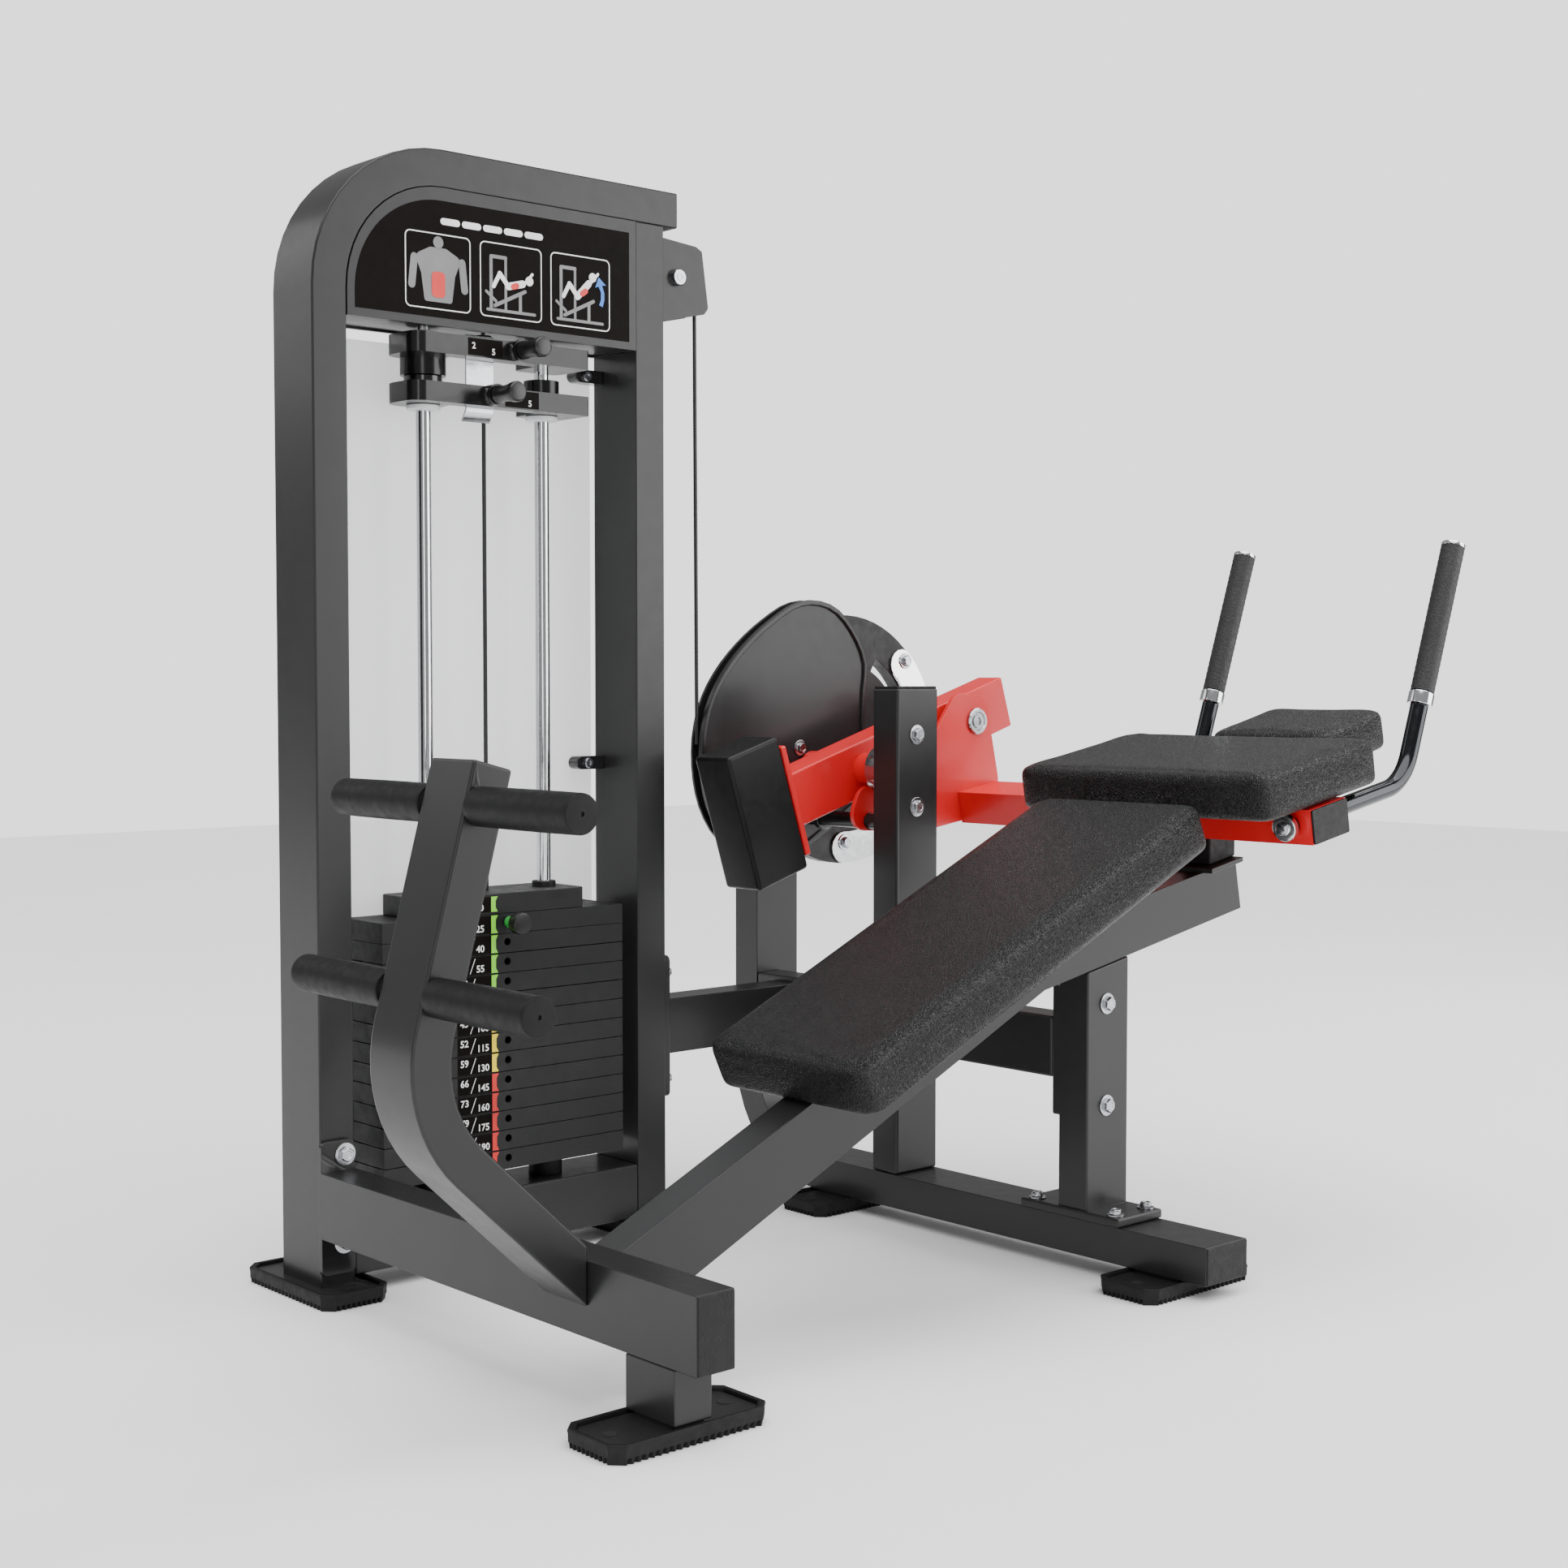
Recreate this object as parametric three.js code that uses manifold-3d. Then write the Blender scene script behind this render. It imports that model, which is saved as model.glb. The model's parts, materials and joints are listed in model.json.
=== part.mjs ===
// Selectorized abdominal crunch machine: weight tower, footrest frame, bench and swinging back-pad arm.
// Millimetres, +Z up. The user lies with the feet towards -X and the head towards +X.
// Pieces are laid out from the tower's front corner, and one group moves them to the base centre.
import * as THREE from 'three';
import { mergeVertices } from 'three/addons/utils/BufferGeometryUtils.js';
import Module from 'manifold-3d';

const wasm = await Module();
wasm.setup();

// Where the layout's zero point lies in the finished part's frame.
const ORIGIN = [-664.4, 261.5, 0];
const GAP = 0.3;

// Weight tower.
const TUBE_THIN = 50.9;
const TUBE_WIDE = 101.7;
const TOWER_Y = 42.3;
const TOWER_BACK_Y = TOWER_Y + TUBE_WIDE;
const NEAR_POST_X = 24.1;
const FAR_POST_X = 548.3;
const TOWER_TOP = 1520;
const TOWER_BEND = 199;
const TOWER_END_X = 626;
const STACK_X = 320;
const STACK_Y = 93;
const ROD_SPREAD = 98;
const ROD_R = 10;
const ROD_TOP = 1296;
const PLATE_PITCH = 27.46;
const PLATE_COUNT = 13;
const STACK_TOP = 489;
const STACK_BASE = STACK_TOP - PLATE_COUNT * PLATE_PITCH;
const SELECTOR_Z = 477.6;
const ROPE_R = 3;
const PULLEY_R = 54;
const PULLEY_Z = 1404;
const FRONT_PULLEY_X = STACK_X + PULLEY_R - 1;
const REAR_PULLEY_X = 644;
const FOOT_LONG = 218;
const FOOT_WIDE = 100;
const FOOT_HIGH = 22;
const FOOT_BED = 12;
const FOOT_PLATE_TOP = 17.5;

// Base, posts and bench.
const BENCH_Y = -503;
const BEAM_WIDE = 52;
const BASE_BEAM_X = [21, 73];
const BASE_BEAM_Z = [84, 171];
const REAR_X = [878, 964];
const REAR_BASE_Z = [FOOT_HIGH + GAP, 73];
const BENCH_SLOPE = 24.56 * Math.PI / 180;
const BACK_SLOPE = 10.76 * Math.PI / 180;

// Swing arm and cam.
const AXIS_X = 922;
const AXIS_Z = 677;
const SHAFT_R = 15;
const LEVER_TILT = 17.5 * Math.PI / 180;
const LEVER_Y = [-44, 8];
const PAD_TILT = 10.4 * Math.PI / 180;
const CAM_Y = [81, 105];

const model = new THREE.Group();
const layout = new THREE.Group();
layout.position.set(...ORIGIN);
model.add(layout);

const PAINT_BLACK = { color: 0x1c1c1e, roughness: 0.35, metalness: 0.4 };
const PAINT_RED = { color: 0xc4161c, roughness: 0.35, metalness: 0.3 };
const CHROME = { color: 0xd9dbde, roughness: 0.12, metalness: 1 };
const STEEL = { color: 0x9a9ca0, roughness: 0.3, metalness: 1 };
const RUBBER = { color: 0x19191a, roughness: 0.85, metalness: 0 };
const UPHOLSTERY = { color: 0x232324, roughness: 0.75, metalness: 0 };
const CAST = { color: 0x2b2b2d, roughness: 0.55, metalness: 0.5 };
const ROPE = { color: 0x101011, roughness: 0.5, metalness: 0 };
const SHEET = { color: 0xdfe2e4, roughness: 0.4, metalness: 0 };
const GREEN = { color: 0x2e9b4a, roughness: 0.4, metalness: 0 };

function node(name, geometry, finish, parent = layout) {
  const mesh = new THREE.Mesh(geometry, new THREE.MeshStandardMaterial(finish));
  mesh.name = name;
  parent.add(mesh);
  return mesh;
}

// Booleans.
function solid(geometry) {
  const bare = geometry.clone();
  bare.deleteAttribute('normal');
  bare.deleteAttribute('uv');
  const merged = mergeVertices(bare, 1e-3);
  const vertProperties = new Float32Array(merged.attributes.position.array);
  const triVerts = new Uint32Array(merged.index.array);
  return new wasm.Manifold(new wasm.Mesh({ numProp: 3, vertProperties, triVerts }));
}

function surface(body) {
  const mesh = body.getMesh();
  const geometry = new THREE.BufferGeometry();
  geometry.setAttribute('position', new THREE.BufferAttribute(new Float32Array(mesh.vertProperties), 3));
  geometry.setIndex(new THREE.BufferAttribute(new Uint32Array(mesh.triVerts), 1));
  geometry.computeVertexNormals();
  return geometry;
}

function join(...geometries) {
  return surface(geometries.map(solid).reduce((sum, body) => sum.add(body)));
}

function cut(geometry, ...tools) {
  return surface(tools.map(solid).reduce((rest, tool) => rest.subtract(tool), solid(geometry)));
}

// Outlines. A point may carry a third number, the radius its corner is rounded to.
function outline(points, steps = 6) {
  const shape = [];
  points.forEach(([x, y, r], i) => {
    if (!r) {
      shape.push(new THREE.Vector2(x, y));
      return;
    }
    const at = new THREE.Vector2(x, y);
    const last = points[(i + points.length - 1) % points.length];
    const next = points[(i + 1) % points.length];
    const back = new THREE.Vector2(last[0] - x, last[1] - y).normalize();
    const ahead = new THREE.Vector2(next[0] - x, next[1] - y).normalize();
    const half = Math.acos(THREE.MathUtils.clamp(back.dot(ahead), -1, 1)) / 2;
    const centre = at.clone().addScaledVector(back.clone().add(ahead).normalize(), r / Math.sin(half));
    const first = at.clone().addScaledVector(back, r / Math.tan(half)).sub(centre);
    const end = at.clone().addScaledVector(ahead, r / Math.tan(half)).sub(centre);
    let sweep = end.angle() - first.angle();
    if (sweep > Math.PI) sweep -= 2 * Math.PI;
    if (sweep < -Math.PI) sweep += 2 * Math.PI;
    for (let k = 0; k <= steps; k += 1) {
      const a = first.angle() + sweep * k / steps;
      shape.push(new THREE.Vector2(centre.x + r * Math.cos(a), centre.y + r * Math.sin(a)));
    }
  });
  return shape;
}

function rect(x0, x1, y0, y1, r = 0) {
  return [[x0, y0, r], [x1, y0, r], [x1, y1, r], [x0, y1, r]];
}

function ring(x, y, r, count = 24, phase = 0) {
  const points = [];
  for (let k = 0; k < count; k += 1) {
    const a = phase + 2 * Math.PI * k / count;
    points.push([x + r * Math.cos(a), y + r * Math.sin(a)]);
  }
  return points;
}

function extrude(points, depth, steps, holes = []) {
  const shape = new THREE.Shape(outline(points, steps));
  holes.forEach((hole) => shape.holes.push(new THREE.Path(outline(hole, steps))));
  return new THREE.ExtrudeGeometry(shape, { depth, bevelEnabled: false, steps: 1 });
}

const AXES = {
  x: new THREE.Matrix4().makeBasis(
    new THREE.Vector3(0, 1, 0), new THREE.Vector3(0, 0, 1), new THREE.Vector3(1, 0, 0)),
  y: new THREE.Matrix4().makeBasis(
    new THREE.Vector3(1, 0, 0), new THREE.Vector3(0, 0, 1), new THREE.Vector3(0, -1, 0)),
};

// Prisms: a Y-Z outline run along X, an X-Z outline run along Y, and an X-Y outline run along Z.
function alongX(points, x0, x1, steps = 6, holes = []) {
  return extrude(points, x1 - x0, steps, holes).applyMatrix4(AXES.x).translate(x0, 0, 0);
}

function alongY(points, y0, y1, steps = 6, holes = []) {
  return extrude(points, y1 - y0, steps, holes).applyMatrix4(AXES.y).translate(0, y1, 0);
}

function alongZ(points, z0, z1, steps = 6, holes = []) {
  return extrude(points, z1 - z0, steps, holes).translate(0, 0, z0);
}

function block(x0, x1, y0, y1, z0, z1) {
  return new THREE.BoxGeometry(x1 - x0, y1 - y0, z1 - z0)
    .translate((x0 + x1) / 2, (y0 + y1) / 2, (z0 + z1) / 2);
}

function barY(x, z, r, y0, y1, count = 24) {
  return alongY(ring(x, z, r, count), y0, y1);
}

// Body of revolution about a Y-parallel line; profile pairs are radius and Y.
function turnedY(x, z, profile, count = 32) {
  const points = profile.map(([r, y]) => new THREE.Vector2(r, y));
  return new THREE.LatheGeometry([...points, points[0].clone()], count).translate(x, 0, z);
}

// Path of straight runs whose corners are rounded to the third-listed radius.
function bentPath(corners) {
  const path = new THREE.CurvePath();
  let from = corners[0][0].clone();
  for (let i = 1; i < corners.length - 1; i += 1) {
    const [at, radius] = corners[i];
    const back = corners[i - 1][0].clone().sub(at).normalize();
    const ahead = corners[i + 1][0].clone().sub(at).normalize();
    const turn = Math.PI - back.angleTo(ahead);
    const run = radius * Math.tan(turn / 2);
    const pull = run - 4 / 3 * Math.tan(turn / 4) * radius;
    const start = at.clone().addScaledVector(back, run);
    const end = at.clone().addScaledVector(ahead, run);
    path.add(new THREE.LineCurve3(from, start));
    path.add(new THREE.CubicBezierCurve3(
      start, at.clone().addScaledVector(back, pull), at.clone().addScaledVector(ahead, pull), end));
    from = end;
  }
  path.add(new THREE.LineCurve3(from, corners[corners.length - 1][0].clone()));
  return path;
}

function tube(path, r, sides, steps) {
  const section = new THREE.Shape(outline(ring(0, 0, r, sides)));
  return new THREE.ExtrudeGeometry(section, { extrudePath: path, steps, bevelEnabled: false });
}

const at = (x, y, z) => new THREE.Vector3(x, y, z);

// ---------------------------------------------------------------- weight tower

function footPlate(x, y, alongXAxis) {
  const halfX = (alongXAxis ? FOOT_LONG : FOOT_WIDE) / 2 - 8;
  const halfY = (alongXAxis ? FOOT_WIDE : FOOT_LONG) / 2 - 8;
  return alongZ(rect(x - halfX, x + halfX, y - halfY, y + halfY, 10), FOOT_BED + GAP, FOOT_PLATE_TOP, 3);
}

const nearFoot = [NEAR_POST_X + TUBE_THIN / 2, 97];
const farFoot = [FAR_POST_X + TUBE_THIN / 2, 97];
const REAR_X_MID = (REAR_X[0] + REAR_X[1]) / 2;

const towerOuter = TOWER_BEND;
const towerInner = TOWER_BEND - TUBE_THIN;
const towerUnder = TOWER_TOP - TUBE_THIN;
node('tower_frame', join(
  alongY([
    [NEAR_POST_X, FOOT_PLATE_TOP - 1],
    [NEAR_POST_X, TOWER_TOP, towerOuter],
    [TOWER_END_X, TOWER_TOP],
    [TOWER_END_X, towerUnder],
    [NEAR_POST_X + TUBE_THIN, towerUnder, towerInner],
    [NEAR_POST_X + TUBE_THIN, FOOT_PLATE_TOP - 1],
  ], TOWER_Y, TOWER_BACK_Y, 12),
  footPlate(...nearFoot, false),
), PAINT_BLACK);

// The rear pulley stands in a slot through the rear upright.
const PULLEY_SLOT_Z = [PULLEY_Z - 68, PULLEY_Z + 61];
node('tower_rear_upright', cut(
  join(
    block(FAR_POST_X, FAR_POST_X + TUBE_THIN, TOWER_Y, TOWER_BACK_Y, FOOT_PLATE_TOP - 1, towerUnder - GAP),
    footPlate(...farFoot, false),
  ),
  block(FAR_POST_X - 1, FAR_POST_X + TUBE_THIN + 1, STACK_Y - 11, STACK_Y + 11, ...PULLEY_SLOT_Z),
), PAINT_BLACK);

const postInner = NEAR_POST_X + TUBE_THIN + GAP;
const LOWER_BEAM_Z = [26, 105];
node('tower_lower_beam', block(
  postInner, FAR_POST_X - GAP, TOWER_Y, TOWER_BACK_Y, ...LOWER_BEAM_Z), PAINT_BLACK);

// The placard housing is a box open underneath. A shelf inside it holds the guide rods' top ends.
const HOUSING_Z = 1285;
const HOUSING_WALL = 6;
const rodXs = { left: STACK_X - ROD_SPREAD, right: STACK_X + ROD_SPREAD };
function housingShape(inset, bottom) {
  const left = postInner + inset;
  const right = FAR_POST_X - GAP - inset;
  const top = towerUnder - GAP - inset;
  return [[left, bottom], [right, bottom], [right, top], [left, top, towerInner - GAP - inset]];
}
node('placard_housing', cut(
  join(
    cut(
      alongY(housingShape(0, HOUSING_Z), TOWER_Y - 1, TOWER_BACK_Y, 12),
      alongY(
        housingShape(HOUSING_WALL, HOUSING_Z - 1),
        TOWER_Y + HOUSING_WALL, TOWER_BACK_Y - HOUSING_WALL, 12),
    ),
    block(postInner + 2, FAR_POST_X - 2, TOWER_Y + 3, TOWER_BACK_Y - 3, ROD_TOP - 8, ROD_TOP),
    barY(FRONT_PULLEY_X, PULLEY_Z, 8, TOWER_Y + 2, TOWER_BACK_Y - 2, 16),
  ),
  alongZ(ring(rodXs.left, STACK_Y, ROD_R + GAP, 20), ROD_TOP - 9, ROD_TOP + 1),
  alongZ(ring(rodXs.right, STACK_Y, ROD_R + GAP, 20), ROD_TOP - 9, ROD_TOP + 1),
  alongZ(ring(STACK_X, STACK_Y, 12, 12), ROD_TOP - 9, ROD_TOP + 1),
  block(FAR_POST_X - HOUSING_WALL - 3, FAR_POST_X, STACK_Y - 9, STACK_Y + 9, 1446, towerUnder - 8),
), PAINT_BLACK);

Object.entries(rodXs).forEach(([side, x]) => {
  node(`guide_rod_${side}`, alongZ(ring(x, STACK_Y, ROD_R, 20), LOWER_BEAM_Z[1] + GAP, ROD_TOP), CHROME);
  node(`rod_bumper_${side}`, alongZ(
    ring(x, STACK_Y, 24), LOWER_BEAM_Z[1] + GAP, STACK_BASE - GAP, 1, [ring(x, STACK_Y, ROD_R + 0.7, 20)],
  ), RUBBER);
});

// Weight stack. The first plate and the head plate move with the selector in its second hole.
const PLATE_X = [STACK_X - 200, STACK_X + 200];
const SELECTOR_BORE = 5.6;
const STEM_R = 11;
const boreTools = (z0, z1) => [
  alongZ(ring(rodXs.left, STACK_Y, ROD_R + 0.7, 20), z0 - 1, z1 + 1),
  alongZ(ring(rodXs.right, STACK_Y, ROD_R + 0.7, 20), z0 - 1, z1 + 1),
];
const stemTool = (z0, z1) => alongZ(ring(STACK_X, STACK_Y, STEM_R + 1.5, 20), z0 - 1, z1 + 1);
const pinTool = (z) => barY(STACK_X, z, SELECTOR_BORE, TOWER_Y - 1, STACK_Y + STEM_R + 1, 8);
const restingTop = STACK_TOP - PLATE_PITCH;
const slabs = [];
const selectorHoles = [];
for (let i = 0; i < PLATE_COUNT - 1; i += 1) {
  const z = STACK_BASE + i * PLATE_PITCH;
  slabs.push(block(...PLATE_X, TOWER_Y, TOWER_BACK_Y, z + (i > 0 ? 0.9 : 0), z + PLATE_PITCH - 0.4));
  selectorHoles.push(pinTool(z + PLATE_PITCH / 2 + 2));
}
node('resting_plates', cut(
  join(
    block(PLATE_X[0] + 3, PLATE_X[1] - 3, TOWER_Y + 3, TOWER_BACK_Y - 3, STACK_BASE + 2, restingTop - 2),
    ...slabs,
  ),
  ...boreTools(STACK_BASE, restingTop),
  stemTool(STACK_BASE, restingTop),
  ...selectorHoles,
), CAST);

node('top_plate', cut(
  block(...PLATE_X, TOWER_Y, TOWER_BACK_Y, restingTop + GAP, STACK_TOP),
  ...boreTools(restingTop, STACK_TOP),
  stemTool(restingTop, STACK_TOP),
  pinTool(SELECTOR_Z),
), CAST);

const HEAD_Z = [STACK_TOP + GAP, 518];
const HEAD_X = [STACK_X - 142, STACK_X + 135];
const headCollars = Object.values(rodXs).map(
  (x) => alongZ(ring(x, STACK_Y, 17, 20), HEAD_Z[1] - 1, HEAD_Z[1] + 8));
node('head_plate', cut(
  join(
    alongZ(rect(...HEAD_X, TOWER_Y, TOWER_BACK_Y, 12), ...HEAD_Z, 3),
    ...headCollars,
  ),
  ...boreTools(HEAD_Z[0], HEAD_Z[1] + 8),
), CAST);

const STEM_BASE = 141;
const stemHoles = [];
for (let i = 0; i < PLATE_COUNT - 1; i += 1) {
  stemHoles.push(barY(STACK_X, SELECTOR_Z - i * PLATE_PITCH, SELECTOR_BORE, STACK_Y - 20, STACK_Y + 20, 8));
}
node('selector_stem', cut(
  alongZ(ring(STACK_X, STACK_Y, STEM_R, 16), STEM_BASE, HEAD_Z[0] - GAP), ...stemHoles), STEEL);

const SELECTOR_KNOB_Y = 4;
node('selector_pin', join(
  barY(STACK_X, SELECTOR_Z, 13, SELECTOR_KNOB_Y, SELECTOR_KNOB_Y + 20, 20),
  barY(STACK_X, SELECTOR_Z, 8, SELECTOR_KNOB_Y + 19, TOWER_Y - 3, 16),
  barY(STACK_X, SELECTOR_Z, 4.5, TOWER_Y - 4, STACK_Y + 8, 10),
), GREEN);

// Add-on weights: a flat bar across two collars on the rods, parked high up the rods.
// The upper one hangs a deep collar on the left rod, and the lower one stands a boss up on the right rod.
const BAR_Y = [TOWER_Y + 0.7, 70];
const ADDON_DEEP = 124;
const ADDON_KNOB_R = 14;
const ADDON_KNOB_Y = -20;
const addons = {
  lower: { z: [1185, 1212], left: [1185, 1212], right: [1185, 1234], knob: [301, 1200] },
  upper: { z: [1250, 1277], left: [1224, 1277], right: [1250, 1277], knob: [343, 1264] },
};
Object.entries(addons).forEach(([name, part]) => {
  const [barZ0, barZ1] = part.z;
  const [knobX, knobZ] = part.knob;
  const bosses = [[rodXs.left, part.left, 31], [rodXs.right, part.right, 25]];
  node(`addon_weight_${name}`, cut(
    join(
      alongZ([[176, BAR_Y[0], 20], [250, BAR_Y[0], 4], [250, ADDON_DEEP, 26], [176, ADDON_DEEP, 26]],
        barZ0, barZ1, 4),
      alongZ([[390, BAR_Y[0], 4], [466, BAR_Y[0], 5], [466, ADDON_DEEP, 12], [390, ADDON_DEEP, 12]],
        barZ0, barZ1, 3),
      block(228, 420, ...BAR_Y, barZ0, barZ1),
      ...bosses.map(([x, [z0, z1], r]) => alongZ(ring(x, STACK_Y, r, 24), z0, z1)),
      barY(knobX, knobZ, 15, BAR_Y[0] - 14, BAR_Y[0] + 6, 16),
    ),
    ...boreTools(part.left[0], Math.max(part.right[1], part.left[1])),
    barY(knobX, knobZ, 8.6, BAR_Y[0] - 16, BAR_Y[0] + 18, 16),
  ), CAST);
  node(`addon_knob_${name}`, join(
    barY(knobX, knobZ, ADDON_KNOB_R, ADDON_KNOB_Y, BAR_Y[0] - 16, 20),
    barY(knobX, knobZ, 8, BAR_Y[0] - 17, BAR_Y[0] + 5, 16),
  ), PAINT_BLACK);
});

const STRAP_X = [279, 324];
node('hanger_strap', alongX([
  [74, HOUSING_Z - GAP], [74, 1182], [85, 1167], [87, 1169], [77, 1183], [77, HOUSING_Z - GAP],
], ...STRAP_X), STEEL);

// Pulleys turn on fixed bolts; the rope runs over both.
function pulley(x) {
  const half = 8;
  return turnedY(x, PULLEY_Z, [
    [9, STACK_Y - half], [57.5, STACK_Y - half], [57.5, STACK_Y - half + 2],
    [PULLEY_R - ROPE_R - 1.8, STACK_Y - 2.5], [PULLEY_R - ROPE_R - 1.8, STACK_Y + 2.5],
    [57.5, STACK_Y + half - 2], [57.5, STACK_Y + half], [9, STACK_Y + half],
  ], 24);
}
node('front_pulley', pulley(FRONT_PULLEY_X), STEEL);
node('rear_pulley', pulley(REAR_PULLEY_X), STEEL);

const cheek = [[600, 1461], [682, 1454, 10], [693, 1448], [705, 1365, 8], [697, 1356], [600, 1334]];
const postBack = FAR_POST_X + TUBE_THIN + GAP;
node('rear_pulley_bracket', join(
  alongY(cheek, 68, 73, 3),
  alongY(cheek, 113, 118, 3),
  block(postBack, postBack + 5, 50, 73, 1336, 1442),
  block(postBack, postBack + 5, 113, 136, 1336, 1442),
  barY(REAR_PULLEY_X, PULLEY_Z, 8, 70, 116, 16),
), PAINT_BLACK);

node('lift_cable', alongZ(ring(STACK_X, STACK_Y, ROPE_R, 8), HEAD_Z[1] + GAP, PULLEY_Z - GAP), ROPE);
const CABLE_DROP_X = REAR_PULLEY_X + PULLEY_R;
const CABLE_END = [702, 715];
node('over_cable', tube(bentPath([
  [at(STACK_X - 1, STACK_Y, PULLEY_Z)],
  [at(STACK_X - 1, STACK_Y, PULLEY_Z + PULLEY_R), PULLEY_R - 0.01],
  [at(CABLE_DROP_X, STACK_Y, PULLEY_Z + PULLEY_R), PULLEY_R - 0.01],
  [at(CABLE_END[0], STACK_Y, CABLE_END[1])],
]), ROPE_R, 8, 44), ROPE);

node('shroud_panel', alongY(
  rect(82, 541, 140, 1272, 30), TOWER_BACK_Y + GAP, TOWER_BACK_Y + 4, 4), SHEET);

// ---------------------------------------------------------------- feet

const feet = {
  tower_front: [...nearFoot, false],
  tower_rear: [...farFoot, false],
  footrest: [46.5, -653.5, true],
  bench: [REAR_X_MID, -648, true],
  cam: [REAR_X_MID, -14, true],
};
Object.entries(feet).forEach(([name, [x, y, alongXAxis]]) => {
  const halfX = (alongXAxis ? FOOT_LONG : FOOT_WIDE) / 2;
  const halfY = (alongXAxis ? FOOT_WIDE : FOOT_LONG) / 2;
  const rim = 7.5;
  node(`foot_${name}`, cut(
    alongZ(rect(x - halfX, x + halfX, y - halfY, y + halfY, 16), 0, FOOT_HIGH, 4),
    alongZ(rect(x - halfX + rim, x + halfX - rim, y - halfY + rim, y + halfY - rim, 10.5),
      FOOT_BED, FOOT_HIGH + 1, 3),
  ), RUBBER);
});

// ---------------------------------------------------------------- footrest frame

node('front_base_beam', join(
  block(...BASE_BEAM_X, -733, 35, ...BASE_BEAM_Z),
  alongY(rect(21, 71, 34, 211, 8), 34, TOWER_Y - GAP, 3),
), PAINT_BLACK);

node('front_stub', join(
  block(...BASE_BEAM_X, -696, -611, FOOT_HIGH + GAP, BASE_BEAM_Z[0] - GAP),
  block(BASE_BEAM_X[0] + 4, BASE_BEAM_X[1] - 4, -688, -619, FOOT_PLATE_TOP - 1, FOOT_HIGH + 1),
  footPlate(46.5, -653.5, true),
), PAINT_BLACK);

// The footrest arm leans out, turns through a wide bend and meets the beam on its left face.
const ARM_HALF = 42;
const ARM_THICK = 50;
const ARM_BEND = 177;
const ARM_TOP = [-124, 729];
const ARM_CORNER = [-225.4, 350.4];
const ARM_FOOT_X = BASE_BEAM_X[0] - GAP;
const armUp = new THREE.Vector2(ARM_TOP[0] - ARM_CORNER[0], ARM_TOP[1] - ARM_CORNER[1]).normalize();
const armLow = new THREE.Vector2(0.729, -0.6845);
const armIn = new THREE.Vector2(armUp.y, -armUp.x).multiplyScalar(ARM_THICK);
const bendHalf = armUp.angleTo(armLow) / 2;
const armMiddle = armUp.clone().add(armLow).normalize();
const reach = ARM_THICK / Math.sin(bendHalf);
const armInner = [ARM_CORNER[0] + armMiddle.x * reach, ARM_CORNER[1] + armMiddle.y * reach];
const fall = armLow.y / armLow.x;
const footZ = (corner) => corner[1] + (ARM_FOOT_X - corner[0]) * fall;
const rollerAxes = { upper: [-120, 679], lower: [-173, 482] };
const ROLLER_LENGTH = 182;
const ROLLER_R = 21.5;
const AXLE_R = 8;
const axles = Object.values(rollerAxes).map(([x, z]) => barY(
  x, z, AXLE_R, BENCH_Y - ARM_HALF - ROLLER_LENGTH + 6, BENCH_Y + ARM_HALF + ROLLER_LENGTH - 6, 16));
node('footrest_arm', join(
  alongY([
    ARM_TOP, [...ARM_CORNER, ARM_BEND], [ARM_FOOT_X, footZ(ARM_CORNER)],
    [ARM_FOOT_X, footZ(armInner)], [...armInner, ARM_BEND - ARM_THICK],
    [ARM_TOP[0] + armIn.x, ARM_TOP[1] + armIn.y],
  ], BENCH_Y - ARM_HALF, BENCH_Y + ARM_HALF, 10),
  ...axles,
), PAINT_BLACK);

Object.entries(rollerAxes).forEach(([level, [x, z]]) => {
  const spans = {
    near: [BENCH_Y - ARM_HALF - 1.5 - ROLLER_LENGTH, BENCH_Y - ARM_HALF - 1.5],
    far: [BENCH_Y + ARM_HALF + 1.5, BENCH_Y + ARM_HALF + 1.5 + ROLLER_LENGTH],
  };
  Object.entries(spans).forEach(([side, [y0, y1]]) => {
    const round = 6;
    node(`foot_roller_${level}_${side}`, turnedY(x, z, [
      [AXLE_R + 0.7, y0], [ROLLER_R - round, y0], [ROLLER_R - 2, y0 + 2], [ROLLER_R, y0 + round],
      [ROLLER_R, y1 - round], [ROLLER_R - 2, y1 - 2], [ROLLER_R - round, y1], [AXLE_R + 0.7, y1],
    ], 20), UPHOLSTERY);
  });
});

// ---------------------------------------------------------------- bench

const PAD_LOW = [335, 356];
const PAD_LENGTH = 705;
const PAD_THICK = 65.5;
const SEAT_BEAM = 86;
const BACK_BEAM = 73;
const slopeAt = (angle, [x0, z0]) => (x) => z0 + (x - x0) * Math.tan(angle);
const lowTop = slopeAt(BENCH_SLOPE, [PAD_LOW[0], PAD_LOW[1] - 66 / Math.cos(BENCH_SLOPE)]);
const lowUnder = (x) => lowTop(x) - SEAT_BEAM / Math.cos(BENCH_SLOPE);
const highUnder = slopeAt(BACK_SLOPE, [820, 403]);
const highTop = (x) => highUnder(x) + BACK_BEAM / Math.cos(BACK_SLOPE);
const crossing = (f, g) => {
  const slope = (f(1) - f(0)) - (g(1) - g(0));
  const x = (g(0) - f(0)) / slope;
  return [x, f(x)];
};
const BEAM_END = 1220;
const endTop = [BEAM_END - BACK_BEAM * Math.sin(BACK_SLOPE), 0];
endTop[1] = highTop(endTop[0]);
const beamStart = BASE_BEAM_X[1] + GAP;
const BEAM_FLOOR = 84;
const floorX = beamStart + (BEAM_FLOOR - lowUnder(beamStart)) / Math.tan(BENCH_SLOPE);
const webTop = PAD_LOW[0] + 664;
const stopFrom = 1130;
const stopTo = 1203;
const benchHalf = BEAM_WIDE / 2;
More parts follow.
